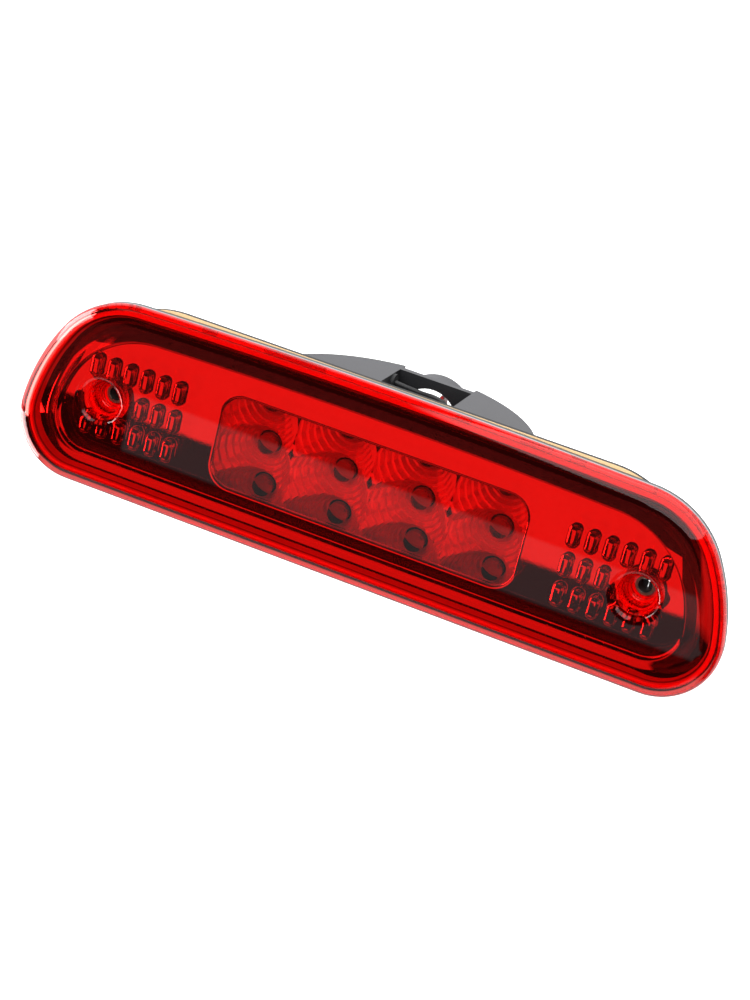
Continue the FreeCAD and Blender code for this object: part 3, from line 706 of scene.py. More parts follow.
@dataclass(frozen=True)
class BareMetal:
    """Turned or stamped metal with fine scratches."""

    name: str
    colour: Colour
    roughness: float

    def make(self, effects: Effects) -> bpy.types.Material:
        """Build the material.

        Args:
            effects: The shared node groups.

        Returns:
            The material.
        """
        material, nodes, shader = start_material(self.name)
        place = nodes.object_position()
        shader.inputs["Metallic"].default_value = 1.0
        grain = nodes.group(effects.grain, Position=place, Scale=1500.0)
        darker = tuple(part * 0.7 for part in self.colour[:3]) + (1.0,)
        base = nodes.mix_colour(grain.outputs["Tone"], darker, self.colour)
        nodes.tree.links.new(base, shader.inputs["Base Color"])
        rough = nodes.math("MULTIPLY_ADD", grain.outputs["Tone"], 0.2, self.roughness)
        nodes.tree.links.new(rough, shader.inputs["Roughness"])
        link_bump(nodes, shader, grain.outputs["Height"], 0.00001)
        return material


class Finish(Enum):
    """The finishes of the lamp's pieces."""

    LENS = ClearPlastic("red_lens", (0.94, 0.07, 0.06, 1), (1, 0.9, 0.9, 1), 0.0)
    BEZEL = MirrorMetal("bezel_mirror", (0.93, 0.93, 0.93, 1), 0.004, 260.0, 0.000001)
    BOWLS = MirrorMetal("bowl_mirror", (0.93, 0.93, 0.93, 1), 0.03, 260.0, 0.000003, 0.6)
    EPOXY = ClearPlastic("led_epoxy", (0.45, 0.32, 0.28, 1), (1, 1, 1, 1), 0.05, 1.52)
    DIE = MouldedPlastic("led_die", (0.75, 0.5, 0.3, 1), 0.4)
    HOUSING = HousingPlastic("housing_plastic", (0.072, 0.072, 0.078, 1), (0.8, 0.8, 0.8, 1), 0.45)
    FOAM = MouldedPlastic("gasket_foam", (0.045, 0.045, 0.045, 1), 0.9, 1200.0, 0.0002)
    KRAFT = MouldedPlastic("gasket_adhesive", (0.62, 0.42, 0.22, 1), 0.75, 1000.0, 0.00004)
    SEALANT = MouldedPlastic("sealant", (0.82, 0.8, 0.78, 1), 0.4, 300.0, 0.0001)
    RUBBER = MouldedPlastic("black_rubber", (0.02, 0.02, 0.021, 1), 0.45)
    RED_WIRE = MouldedPlastic("red_insulation", (0.55, 0.015, 0.015, 1), 0.32, 600.0, 0.00001)
    BLACK_WIRE = MouldedPlastic("black_insulation", (0.015, 0.015, 0.016, 1), 0.3, 600.0, 0.00001)
    BOARD = MouldedPlastic("board_green", (0.03, 0.2, 0.08, 1), 0.4)
    CHIP = MouldedPlastic("chip_black", (0.02, 0.02, 0.02, 1), 0.4)
    PLUG = MouldedPlastic("plug_plastic", (0.03, 0.03, 0.032, 1), 0.38)
    PLUG_SEAL = MouldedPlastic("plug_seal", (0.75, 0.2, 0.04, 1), 0.5)
    LOCK = MouldedPlastic("lock_plastic", (0.75, 0.74, 0.7, 1), 0.4)
    STEEL = BareMetal("bright_steel", (0.75, 0.74, 0.72, 1), 0.25)
    # the second colour is painted shade inside the sleeve's bore
    BRASS = SleeveMetal("sleeve_metal", (0.85, 0.78, 0.6, 1), (0.015, 0.013, 0.01, 1))


class Paintbox:
    """Makes each finish once and gives it to pieces."""

    def __init__(self) -> None:
        """Build the shared groups."""
        self.effects = Effects()
        self.made: dict[Finish, bpy.types.Material] = {}

    def material(self, finish: Finish) -> bpy.types.Material:
        """The material of a finish, made at its first use."""
        if finish not in self.made:
            self.made[finish] = finish.value.make(self.effects)
        return self.made[finish]

    def dress(self, thing: bpy.types.Object, finish: Finish) -> None:
        """Give an object one finish all over."""
        thing.data.materials.clear()
        thing.data.materials.append(self.material(finish))

    def dress_node(self, node: str, finish: Finish) -> None:
        """Give a CAD node a finish, slot by slot."""
        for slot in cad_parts[node].material_slots:
            slot.material = self.material(finish)


@dataclass(frozen=True)
class Placement:
    """What a piece stands for: its body, record slot and CAD nodes."""

    slot: str
    nodes: tuple[str, ...] = ()

    def apply(self, piece: bpy.types.Object) -> None:
        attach(piece, BODY)
        if self.nodes:
            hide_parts(*self.nodes)
        LOG.info("%s: %d faces", piece.name, len(getattr(piece.data, "polygons", ())))


def corners(node: str) -> tuple[Vector, Vector]:
    """Lowest and highest corner of a CAD node."""
    low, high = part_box(node)
    return Vector(low), Vector(high)


# ---- lens ---------------------------------------------------------------------------------


@dataclass
class LensCover:
    """The red cover: a shell with rounded edges and two screw wells."""

    paint: Paintbox
    wall: float = 2.8 * MM
    edge_radius: float = 7.5 * MM
    edge_steps: int = 16
    well_back: float = -5.0 * MM
    well_x: float = 105 * MM
    tube_radius: float = 8.5 * MM
    hole_radius: float = 3.6 * MM
    well_steps: int = 64

    def __post_init__(self) -> None:
        """Read the cover's box from the frame."""
        low = corners("outer_lens")[0]
        self.front = low.y
        self.back = -12.5 * MM
        self.outline = LENS_OUTLINE

    def shell_rings(self) -> tuple[list[Ring], list[Ring]]:
        """Rings of the outer skin from back to front, and of the inner skin from front to back."""
        curve_y = self.front + self.edge_radius
        inner_radius = self.edge_radius - self.wall
        outer = [
            self.outline.ring(self.back, 0.25 * MM),
            self.outline.ring(self.back - 0.25 * MM),
            self.outline.ring(curve_y),
        ]
        inner = []
        for step in range(1, self.edge_steps + 1):
            angle = math.pi / 2 * step / self.edge_steps
            inset = self.edge_radius * (1 - math.cos(angle))
            outer.append(self.outline.ring(curve_y - self.edge_radius * math.sin(angle), inset))
        outer.append(self.outline.ring(self.front, self.edge_radius + 0.3 * MM))
        inner_front = self.front + self.wall
        inner.append(self.outline.ring(inner_front, self.edge_radius + 0.3 * MM))
        for step in range(self.edge_steps, -1, -1):
            angle = math.pi / 2 * step / self.edge_steps
            inset = self.edge_radius - inner_radius * math.cos(angle)
            inner.append(self.outline.ring(curve_y - inner_radius * math.sin(angle), inset))
        inner.append(self.outline.ring(self.back, self.wall))
        return outer, inner

    def well_profile(self) -> list[tuple[float, float]]:
        """Radius and depth behind the front of each ring down a well, lip to floor hole."""
        lip = 2.6 * MM
        profile = []
        for step in range(9):
            angle = math.pi / 2 * step / 8
            profile.append((10.0 * MM - lip * math.sin(angle), lip * (1 - math.cos(angle))))
        depth = self.well_back - self.front
        profile += [
            (7.1 * MM, 4.2 * MM), (6.9 * MM, 6.0 * MM), (6.7 * MM, 6.3 * MM),
            (5.9 * MM, 6.5 * MM), (5.75 * MM, 6.8 * MM), (5.3 * MM, 10.6 * MM),
            (5.1 * MM, 10.9 * MM), (4.7 * MM, 11.1 * MM), (4.6 * MM, 11.4 * MM),
            (4.5 * MM, depth - 2.2 * MM), (4.3 * MM, depth - 2.0 * MM),
            (self.hole_radius, depth - 2.0 * MM), (self.hole_radius, depth),
        ]
        return profile

    def add_well(
        self, bm: bmesh.types.BMesh, side: int
    ) -> tuple[list[bmesh.types.BMVert], list[bmesh.types.BMVert]]:
        """Add one well and its tube.

        Args:
            bm: The mesh under construction.
            side: -1 for the left well, 1 for the right one.

        Returns:
            The ring at the lens front and the ring where the tube meets the inner skin.
        """
        x = side * self.well_x
        count = self.well_steps
        rings = [circle(x, 0, 10.3 * MM, self.front, count)]
        rings += [circle(x, 0, radius, self.front + depth, count)
                  for radius, depth in self.well_profile()]
        rings.append(circle(x, 0, self.tube_radius - 0.2 * MM, self.well_back, count))
        rings.append(circle(x, 0, self.tube_radius, self.well_back - 0.2 * MM, count))
        inner_front = self.front + self.wall
        fillet = 0.8 * MM
        for step in range(5):
            angle = math.pi / 2 * step / 4
            radius = self.tube_radius + fillet * (1 - math.cos(angle))
            rings.append(circle(x, 0, radius, inner_front + fillet * (1 - math.sin(angle)), count))
        rings.append(circle(x, 0, self.tube_radius + fillet + 0.5 * MM, inner_front, count))
        made = loft(bm, rings)
        return made[0], made[-1]

    def build(self) -> bpy.types.Object:
        """Make, dress and place the cover."""
        bm = bmesh.new()
        outer, inner = self.shell_rings()
        outer_made = loft(bm, outer)
        inner_made = loft(bm, inner)
        bridge(bm, inner_made[-1], outer_made[0])
        front_holes = []
        back_holes = []
        for side in (-1, 1):
            mouth, root = self.add_well(bm, side)
            front_holes.append(mouth)
            back_holes.append(root)
        fill_flat(bm, [outer_made[-1]] + front_holes, (0, -1, 0))
        fill_flat(bm, [inner_made[0]] + back_holes, (0, 1, 0))
        close_up(bm)
        piece = from_bmesh("lens_cover", bm, 40)
        self.paint.dress(piece, Finish.LENS)
        Placement("lens_red", ("outer_lens",)).apply(piece)
        return piece


# ---- bezel --------------------------------------------------------------------------------


@dataclass
class Bezel:
    """The metallised plate with its stepped border, window and ribs."""

    paint: Paintbox
    edge_thickness: float = 1.0 * MM
    edge_inset: float = 5.0 * MM
    ledge_width: float = 4.2 * MM
    floor_thickness: float = 1.5 * MM
    window: tuple[float, float, float] = (59.7 * MM, 17.4 * MM, 8.0 * MM)
    well_x: float = 105 * MM
    well_radius: float = 8.8 * MM
    rib_pitch: float = 6.78 * MM
    rib_row_pitch: float = 11.3 * MM
    rib_start: float = 77.4 * MM
    rib_size: tuple[float, float, float] = (5.0 * MM, 3.0 * MM, 9.2 * MM)
    rib_rounding: float = 2.2 * MM

    def __post_init__(self) -> None:
        """Work out the plate's planes."""
        self.back = -11.0 * MM
        self.floor_y = self.back - self.floor_thickness
        self.ledge_y = self.back - 3.5 * MM

    def border_rings(self) -> list[Ring]:
        """Rings from the back of the plate round its edge and down to the floor."""
        edge_y = self.back - self.edge_thickness
        edge = LENS_OUTLINE
        floor = FLOOR_OUTLINE
        inset = self.edge_inset
        wide = -self.ledge_width
        return [
            edge.ring(self.back, inset + 1.0 * MM),
            edge.ring(self.back, inset + 0.2 * MM),
            edge.ring(self.back - 0.2 * MM, inset),
            edge.ring(edge_y, inset),
            edge.ring(edge_y - 0.35 * MM, inset + 0.5 * MM),
            floor.ring(self.ledge_y + 1.35 * MM, wide - 0.5 * MM),
            floor.ring(self.ledge_y + 1.05 * MM, wide - 0.1 * MM),
            floor.ring(self.ledge_y + 0.93 * MM, wide + 0.3 * MM),
            floor.ring(self.ledge_y + 0.03 * MM, -0.6 * MM),
            floor.ring(self.ledge_y, -0.45 * MM),
            floor.ring(self.ledge_y + 0.1 * MM, -0.15 * MM),
            floor.ring(self.ledge_y + 0.4 * MM, 0.0),
            floor.ring(self.floor_y - 0.3 * MM, 0.05 * MM),
            floor.ring(self.floor_y - 0.08 * MM, 0.15 * MM),
            floor.ring(self.floor_y, 0.4 * MM),
            floor.ring(self.floor_y, 0.7 * MM),
        ]

    def window_rings(self) -> list[Ring]:
        """Rings from the floor over the window's rounded lip to the back of the plate."""
        length, height, corner = self.window
        lip = 1.0 * MM
        rings = [rounded_rectangle(length + 1.3 * MM, height + 1.3 * MM, corner + 1.3 * MM,
                                   self.floor_y)]
        for step in range(7):
            angle = math.pi / 2 * step / 6
            grow = lip * (1 - math.sin(angle))
            y = self.floor_y + lip * (1 - math.cos(angle))
            rings.append(rounded_rectangle(length + grow, height + grow, corner + grow, y))
        rings.append(rounded_rectangle(length, height, corner, self.back))
        return rings

    def build(self) -> None:
        """Make, dress and place the plate and its ribs."""
        bm = bmesh.new()
        border = loft(bm, self.border_rings())
        window = loft(bm, self.window_rings())
        fronts = []
        backs = []
        for side in (-1, 1):
            x = side * self.well_x
            hole = loft(bm, [circle(x, 0, self.well_radius, y, 64)
                             for y in (self.floor_y, self.back)])
            fronts.append(hole[0])
            backs.append(hole[1])
        fill_flat(bm, [border[-1], window[0]] + fronts, (0, -1, 0))
        fill_flat(bm, [border[0], window[-1]] + backs, (0, 1, 0))
        close_up(bm)
        plate = from_bmesh("bezel_plate", bm, 35)
        self.paint.dress(plate, Finish.BEZEL)
        Placement("bezel_metal", ("front_bezel",)).apply(plate)
        ribs = self.ribs()
        self.paint.dress(ribs, Finish.BEZEL)
        Placement("bezel_metal", ("front_bezel",)).apply(ribs)

    def rib_places(self) -> list[Vector]:
        """Centres of the ribs: each well takes the outer half of the middle row."""
        places = []
        for side in (-1, 1):
            for row in (-1, 0, 1):
                columns = 3 if row == 0 else 6
                for column in range(columns):
                    x = side * (self.rib_start + column * self.rib_pitch)
                    places.append(Vector((x, self.floor_y, row * self.rib_row_pitch)))
        return places

    def rib_mesh(self) -> bpy.types.Object:
        """One rib about the origin, its base at y = 0: a block with round uprights and front."""
        width, height, length = self.rib_size
        soft = self.rib_rounding
        bm = bmesh.new()
        rings = [rounded_rectangle(width / 2, length / 2, 2.3 * MM, 0.1 * MM, 8)]
        for step in range(8):
            angle = math.pi / 2 * step / 7
            inset = soft * (1 - math.cos(angle))
            y = -(height - soft) - soft * math.sin(angle)
            rings.append(rounded_rectangle(width / 2 - inset, length / 2 - inset,
                                           2.3 * MM - inset, y, 8))
        rings.append(rounded_rectangle(width / 2 - soft - 0.1 * MM, length / 2 - soft - 0.1 * MM,
                                       0.15 * MM, -height, 8))
        made = loft(bm, rings)
        bm.faces.new(made[-1])
        bm.faces.new(list(reversed(made[0])))
        close_up(bm)
        return from_bmesh("rib", bm, 50)

    def ribs(self) -> bpy.types.Object:
        """All ribs of the plate as one piece, set out by a point instancer."""
        return instance_on_points("bezel_ribs", self.rib_mesh(), self.rib_places(),
                                  self.paint.material(Finish.BEZEL))


# ---- geometry nodes -----------------------------------------------------------------------


def instance_tree(shape: bpy.types.Object, material: bpy.types.Material) -> bpy.types.NodeTree:
    """A geometry tree that puts a shape on every point and makes the copies real.

    Args:
        shape: The object to repeat.
        material: The material of the copies.

    Returns:
        The tree, with named inputs for the shape's scale and turn.
    """
    tree = bpy.data.node_groups.new("Set Out " + shape.name, "GeometryNodeTree")
    tree.interface.new_socket("Geometry", in_out="INPUT", socket_type="NodeSocketGeometry")
    size = tree.interface.new_socket("Size", in_out="INPUT", socket_type="NodeSocketFloat")
    size.default_value = 1.0
    tree.interface.new_socket("Turn", in_out="INPUT", socket_type="NodeSocketVector")
    tree.interface.new_socket("Geometry", in_out="OUTPUT", socket_type="NodeSocketGeometry")
    nodes = NodeTree(tree)
    source = nodes.add("NodeGroupInput")
    info = nodes.add("GeometryNodeObjectInfo", inputs={"Object": shape})
    turn = nodes.add("FunctionNodeEulerToRotation", inputs={0: source.outputs["Turn"]})
    copies = nodes.add(
        "GeometryNodeInstanceOnPoints",
        inputs={"Points": source.outputs["Geometry"], "Instance": info.outputs["Geometry"],
                "Scale": source.outputs["Size"], "Rotation": turn.outputs[0]},
    )
    real = nodes.add("GeometryNodeRealizeInstances", inputs={0: copies.outputs[0]})
    paint = nodes.add("GeometryNodeSetMaterial", inputs={"Geometry": real.outputs[0]})
    paint.inputs["Material"].default_value = material
    result = nodes.add("NodeGroupOutput")
    tree.links.new(paint.outputs[0], result.inputs[0])
    return tree


def set_input(modifier: bpy.types.Modifier, name: str, value: object) -> None:
    """Set a geometry modifier's input by the identifier of its named socket."""
    for item in modifier.node_group.interface.items_tree:
        if item.item_type == "SOCKET" and item.in_out == "INPUT" and item.name == name:
            modifier[item.identifier] = value


def instance_on_points(
    name: str,
    shape: bpy.types.Object,
    places: Sequence[Vector],
    material: bpy.types.Material,
    turn: Point = (0.0, 0.0, 0.0),
) -> bpy.types.Object:
    """Repeat a shape at places and return the plain mesh object.

    Args:
        name: The new piece's name.
        shape: The object to repeat; it is removed.
        places: Where the copies stand.
        material: Their material.
        turn: Their rotation, as Euler angles in radians.

    Returns:
        The piece.
    """
    points = bpy.data.meshes.new(name + "_points")
    points.from_pydata(places, [], [])
    carrier = link(name + "_points", points)
    modifier = carrier.modifiers.new("set_out", "NODES")
    modifier.node_group = instance_tree(shape, material)
    set_input(modifier, "Turn", turn)
    bpy.context.view_layer.update()
    graph = bpy.context.evaluated_depsgraph_get()
    mesh = bpy.data.meshes.new_from_object(carrier.evaluated_get(graph))
    carrier.modifiers.remove(modifier)
    bpy.data.objects.remove(carrier)
    bpy.data.objects.remove(shape)
    mesh.name = name
    return link(name, mesh)


# ---- LED module ---------------------------------------------------------------------------


@dataclass
class LedModule:
    """Board, twelve LEDs and the bowl reflector, all tilted about X."""

    paint: Paintbox
    tilt: float = math.radians(14.0)
    centre: Vector = field(default_factory=lambda: Vector((0, 10 * MM, -2 * MM)))
    pitch: float = 31.1 * MM
    row_pitch: float = 18.87 * MM
    neck_radius: float = 4.7 * MM
    bowl_start: float = 1.4 * MM
    bowl_depth: float = 16.6 * MM
    mouth_radius: float = 15.3 * MM
    terraces: int = 9
    sides: int = 16
    reach: float = 19.5 * MM
    tread: tuple[float, float] = (0.55, 0.06)
    steepening: tuple[float, float] = (0.62, 0.38)
    twist: float = 0.13
    led_radius: float = 3.9 * MM
    front_limit: float = -10.7 * MM
    bottom: float = -27.0 * MM

    def matrix(self) -> Matrix:
        """From the upright module, whose board face is y = 0, to its tilted place."""
        return Matrix.Translation(self.centre) @ Matrix.Rotation(self.tilt, 4, "X")

    def led_places(self) -> list[Vector]:
        """Centres of the LEDs on the upright board's face."""
        return [
            Vector(((column - 1.5) * self.pitch, 0, (1 - row) * self.row_pitch))
            for row in range(3)
            for column in range(4)
        ]

    def bowl_rings(self, index: int) -> list[Ring]:
        """Faceted terraces of one bowl about the origin, from its neck outwards.

        Args:
            index: The bowl's number, which turns its facets a little.

        Returns:
            The rings: a nearly flat tread and then a steep riser for each terrace.
        """
        slope = self.bowl_depth / (self.mouth_radius - self.neck_radius)
        pace = (self.reach - self.neck_radius) / self.terraces
        wide, deep = self.tread
        start, gain = self.steepening
        rings = []
        for level in range(self.terraces + 1):
            share = level / self.terraces
            rise = self.bowl_start + level * pace * slope * (start + gain * share)
            for grow, lift in ((0.0, 0.0), (wide * pace, deep * pace)):
                radius = self.neck_radius + level * pace + grow
                ring = []
                for side in range(self.sides):
                    angle = self.twist * index + 2 * math.pi * side / self.sides
                    place = (radius * math.cos(angle), -rise - lift, radius * math.sin(angle))
                    ring.append(Vector(place))
                rings.append(ring)
        return rings

    def add_bowl(self, target: bmesh.types.BMesh, place: Vector, index: int) -> None:
        """Add one bowl, cut to its cell.

        Args:
            target: The mesh under construction.
            place: Centre of its LED on the upright board.
            index: The bowl's number.
        """
        bm = bmesh.new()
        rings = self.bowl_rings(index)
        made = [add_ring(bm, ring) for ring in rings]
        for first, second in zip(made, made[1:]):
            bridge(bm, first, second)
        collar = add_ring(bm, [Vector((v.co.x, -0.2 * MM, v.co.z)) for v in made[0]])
        bridge(bm, collar, made[0])
        half = Vector((self.pitch / 2, 0, self.row_pitch / 2))
        for axis, sign in ((0, 1), (0, -1), (2, 1), (2, -1)):
            at = Vector((0, 0, 0))
            at[axis] = sign * half[axis]
            away = Vector((0, 0, 0))
            away[axis] = sign
            everything = bm.verts[:] + bm.edges[:] + bm.faces[:]
            bmesh.ops.bisect_plane(bm, geom=everything, plane_co=at, plane_no=away,
                                   clear_outer=True)
        bmesh.ops.translate(bm, vec=place, verts=bm.verts)
        bmesh.ops.transform(bm, matrix=self.matrix(), verts=bm.verts)
        for at, away in ((Vector((0, self.front_limit, 0)), Vector((0, -1, 0))),
                         (Vector((0, 0, self.bottom)), Vector((0, 0, -1)))):
            everything = bm.verts[:] + bm.edges[:] + bm.faces[:]
            bmesh.ops.bisect_plane(bm, geom=everything, plane_co=at, plane_no=away,
                                   clear_outer=True)
        bmesh.ops.recalc_face_normals(bm, faces=bm.faces)
        mesh = bpy.data.meshes.new("bowl")
        bm.to_mesh(mesh)
        bm.free()
        target.from_mesh(mesh)
        bpy.data.meshes.remove(mesh)

    def reflector(self) -> None:
        """Make, dress and place the bowl reflector."""
        bm = bmesh.new()
        for index, place in enumerate(self.led_places()):
            self.add_bowl(bm, place, index)
        bmesh.ops.remove_doubles(bm, verts=bm.verts, dist=1e-6)
        bmesh.ops.recalc_face_normals(bm, faces=bm.faces)
        mesh = bpy.data.meshes.new("bowl_reflector")
        bm.to_mesh(mesh)
        bm.free()
        piece = link("bowl_reflector", mesh)
        self.paint.dress(piece, Finish.BOWLS)
        Placement("reflector_metal", ("led_reflector",)).apply(piece)

    def led_shape(self) -> bpy.types.Object:
        """One LED about the origin, its rim on y = 0: rim, barrel and dome."""
        profile = [(0.0, 0.0), (4.3 * MM, 0.0), (4.4 * MM, 0.1 * MM), (4.4 * MM, 0.9 * MM),
                   (4.3 * MM, 1.0 * MM), (self.led_radius, 1.0 * MM)]
        barrel = 4.0 * MM
        for step in range(0, 13):
            angle = math.pi / 2 * step / 12
            profile.append((self.led_radius * math.cos(angle),
                            barrel + self.led_radius * math.sin(angle)))
        bm = bmesh.new()
        rings = [circle(0, 0, max(radius, 1e-5), -rise, 32) for radius, rise in profile]
        made = loft(bm, rings)
        bm.faces.new(made[0])
        bm.faces.new(list(reversed(made[-1])))
        bmesh.ops.recalc_face_normals(bm, faces=bm.faces)
        return from_bmesh("led", bm, 40)

    def die_shape(self) -> bpy.types.Object:
        """The small cup and die inside an LED."""
        bm = bmesh.new()
        rings = [circle(0, 0, 2.2 * MM, -0.3 * MM, 20), circle(0, 0, 2.2 * MM, -2.2 * MM, 20),
                 circle(0, 0, 1.9 * MM, -2.2 * MM, 20), circle(0, 0, 1.1 * MM, -1.6 * MM, 20)]
        made = loft(bm, rings)
        bm.faces.new(made[0])
        bm.faces.new(list(reversed(made[-1])))
        edge = 0.55 * MM
        square = [Vector((edge * a, -1.6 * MM, edge * b))
                  for a, b in ((1, 1), (-1, 1), (-1, -1), (1, -1))]
        block = loft(bm, [square, [point + Vector((0, -0.5 * MM, 0)) for point in square]])
        bm.faces.new(block[-1])
        bmesh.ops.recalc_face_normals(bm, faces=bm.faces)
        return from_bmesh("die", bm, 30)

    def leds(self) -> None:
        """Set out the LEDs and their dies with point instancers."""
        turn = (self.tilt, 0.0, 0.0)
        places = [self.matrix() @ place for place in self.led_places()]
        names = tuple(f"led_row{row}_column{column}" for row in (1, 2, 3)
                      for column in (1, 2, 3, 4))
        domes = instance_on_points("led_domes", self.led_shape(), places,
                                   self.paint.material(Finish.EPOXY), turn)
        dies = instance_on_points("led_dies", self.die_shape(), places,
                                  self.paint.material(Finish.DIE), turn)
        for piece in (domes, dies):
            Placement("led_epoxy", names).apply(piece)

    def build(self) -> None:
        """Make every piece of the module."""
        self.reflector()
        self.leds()
        self.paint.dress_node("led_board", Finish.BOARD)
        for number in range(1, 5):
            self.paint.dress_node(f"resistor_{number}", Finish.CHIP)
        self.paint.dress_node("polarity_diode", Finish.CHIP)
        for side in ("left", "right"):
            self.paint.dress_node("module_screw_" + side, Finish.STEEL)


# ---- housing and gasket -------------------------------------------------------------------


@dataclass
class Rear:
    """Housing, gasket, seal and sleeves, whose CAD shapes are kept."""

    paint: Paintbox

    def build(self) -> None:
        """Dress the nodes behind the lens."""
        finishes = {
            "rear_housing": Finish.HOUSING,
            "gasket_foam": Finish.FOAM,
            "gasket_adhesive": Finish.KRAFT,
            "lens_seal": Finish.SEALANT,
            "screw_sleeve_left": Finish.BRASS,
            "screw_sleeve_right": Finish.BRASS,
            "wire_grommet_red": Finish.RUBBER,
            "wire_grommet_black": Finish.RUBBER,
        }
        for node, finish in finishes.items():
            self.paint.dress_node(node, finish)
            LOG.info("%s keeps its shape", node)


@dataclass
class ScrewRetainers:
    """Slit rubber discs near the back of the sleeves, which hold a screw until it is driven."""

    paint: Paintbox
    well_x: float = 105 * MM
    radius: float = 2.62 * MM
    opening: float = 0.4 * MM
    middle_y: float = -0.7 * MM
    half_thickness: float = 0.2 * MM
    slit: float = math.radians(3)
    steps: int = 10

    def petal(self, bm: bmesh.types.BMesh, x: float, turn: float) -> None:
        """Add one quarter of a disc.

        Args:
            bm: The mesh under construction.
            x: The disc's centre.
            turn: Where the quarter starts, in radians.
        """
        half = self.half_thickness
        profile = [(self.radius, -half), (self.opening + 0.15 * MM, -half),
                   (self.opening, -half / 2), (self.opening, half / 2),
                   (self.opening + 0.15 * MM, half), (self.radius, half)]
        sections = []
        for step in range(self.steps + 1):
            span = math.pi / 2 - 2 * self.slit
            angle = turn + self.slit + span * step / self.steps
            sections.append([
                Vector((x + radius * math.cos(angle), self.middle_y + y, radius * math.sin(angle)))
                for radius, y in profile
            ])
        made = loft(bm, sections)
        bm.faces.new(made[0])
        bm.faces.new(list(reversed(made[-1])))

    def build(self) -> None:
        """Make, dress and place the discs of both sleeves."""
        bm = bmesh.new()
        for side in (-1, 1):
            for quarter in range(4):
                self.petal(bm, side * self.well_x, quarter * math.pi / 2)
        bmesh.ops.recalc_face_normals(bm, faces=bm.faces)
        piece = from_bmesh("screw_retainers", bm, 30)
        self.paint.dress(piece, Finish.RUBBER)
        Placement("rubber_black").apply(piece)


# ---- pigtail ------------------------------------------------------------------------------

RED_ROUTE = [
    (4.0, 21.0, 16.0),
    (4.0, 27.0, 16.0),
    (4.4, 33.0, 21.6),
    (3.8, 40.0, 23.9),
    (3.0, 47.6, 23.0),
    (1.9, 54.0, 17.8),
    (1.2, 58.0, 9.6),
    (0.5, 59.2, 0.2),
    (-0.2, 58.9, -9.2),
    (-0.1, 58.2, -18.0),
    (0.0, 58.0, -25.0),
    (0.0, 58.2, -31.5),
]
BLACK_ROUTE = [
    (-13.3, 34.0, 26.2),
    (-4.0, 34.2, 25.3),
    (5.5, 34.2, 25.8),
    (10.0, 36.8, 20.6),
    (8.8, 43.0, 15.8),
    (7.6, 50.0, 10.2),
    (6.6, 56.0, 3.0),
    (5.2, 59.6, -6.0),
    (4.4, 59.6, -15.5),
    (4.0, 58.3, -24.5),
    (4.0, 58.0, -31.5),
]


@dataclass
class Pigtail:
    """Two insulated wires and the plug at their end."""

    paint: Paintbox
    diameter: float = 2.0 * MM
    plug_nodes: tuple[str, ...] = (
        "connector_shell", "connector_lock", "connector_seal", "terminal_red", "terminal_black",
    )

    def wire(
        self, name: str, route: Sequence[Point], finish: Finish,
    ) -> None:
        """Make one wire as a smooth curve along its route.

        Args:
            name: The CAD node that it replaces.
            route: Its control points, in millimetres.
            finish: Its finish.
        """
        curve = bpy.data.curves.new(name + "_curve", "CURVE")
        curve.dimensions = "3D"
        curve.bevel_depth = self.diameter / 2
        curve.bevel_resolution = 5
        curve.resolution_u = 10
        curve.use_fill_caps = True
        spline = curve.splines.new("NURBS")
        spline.points.add(len(route) - 1)
        for point, place in zip(spline.points, route):
            point.co = (place[0] * MM, place[1] * MM, place[2] * MM, 1.0)
        spline.order_u = 3
        spline.use_endpoint_u = True
        piece = bpy.data.objects.new(name + "_insulation", curve)
        bpy.context.scene.collection.objects.link(piece)
        self.paint.dress(piece, finish)
        Placement(name, (name,)).apply(piece)

    def build(self) -> None:
        """Make the wires and dress the plug."""
        self.wire("wire_red", RED_ROUTE, Finish.RED_WIRE)
        self.wire("wire_black", BLACK_ROUTE, Finish.BLACK_WIRE)
        self.paint.dress_node("connector_shell", Finish.PLUG)
        self.paint.dress_node("connector_lock", Finish.LOCK)
        self.paint.dress_node("connector_seal", Finish.PLUG_SEAL)
        self.paint.dress_node("terminal_red", Finish.STEEL)
        self.paint.dress_node("terminal_black", Finish.STEEL)


# ---- studio -------------------------------------------------------------------------------


@dataclass(frozen=True)
class SoftBox:
    """A soft rectangle of light far away, seen along its own forward direction."""

    azimuth: float
    elevation: float
    across: tuple[float, float]
    upright: tuple[float, float]
    softness: float
    strength: float

    def basis(self) -> tuple[Vector, Vector, Vector]:
        """Forward, right and up; azimuth 0 looks along -Y, and 90 along +X."""
        turn = math.radians(self.azimuth)
        rise = math.radians(self.elevation)
        flat = Vector((math.sin(turn), -math.cos(turn), 0))
        forward = flat * math.cos(rise) + Vector((0, 0, math.sin(rise)))
        right = Vector((math.cos(turn), math.sin(turn), 0))
        return forward, right, right.cross(forward) * -1


@dataclass(frozen=True)
class Lamp:
    """A diffuse area light that mirrors don't show."""

    name: str
    place: Point
    size: float
    power: float


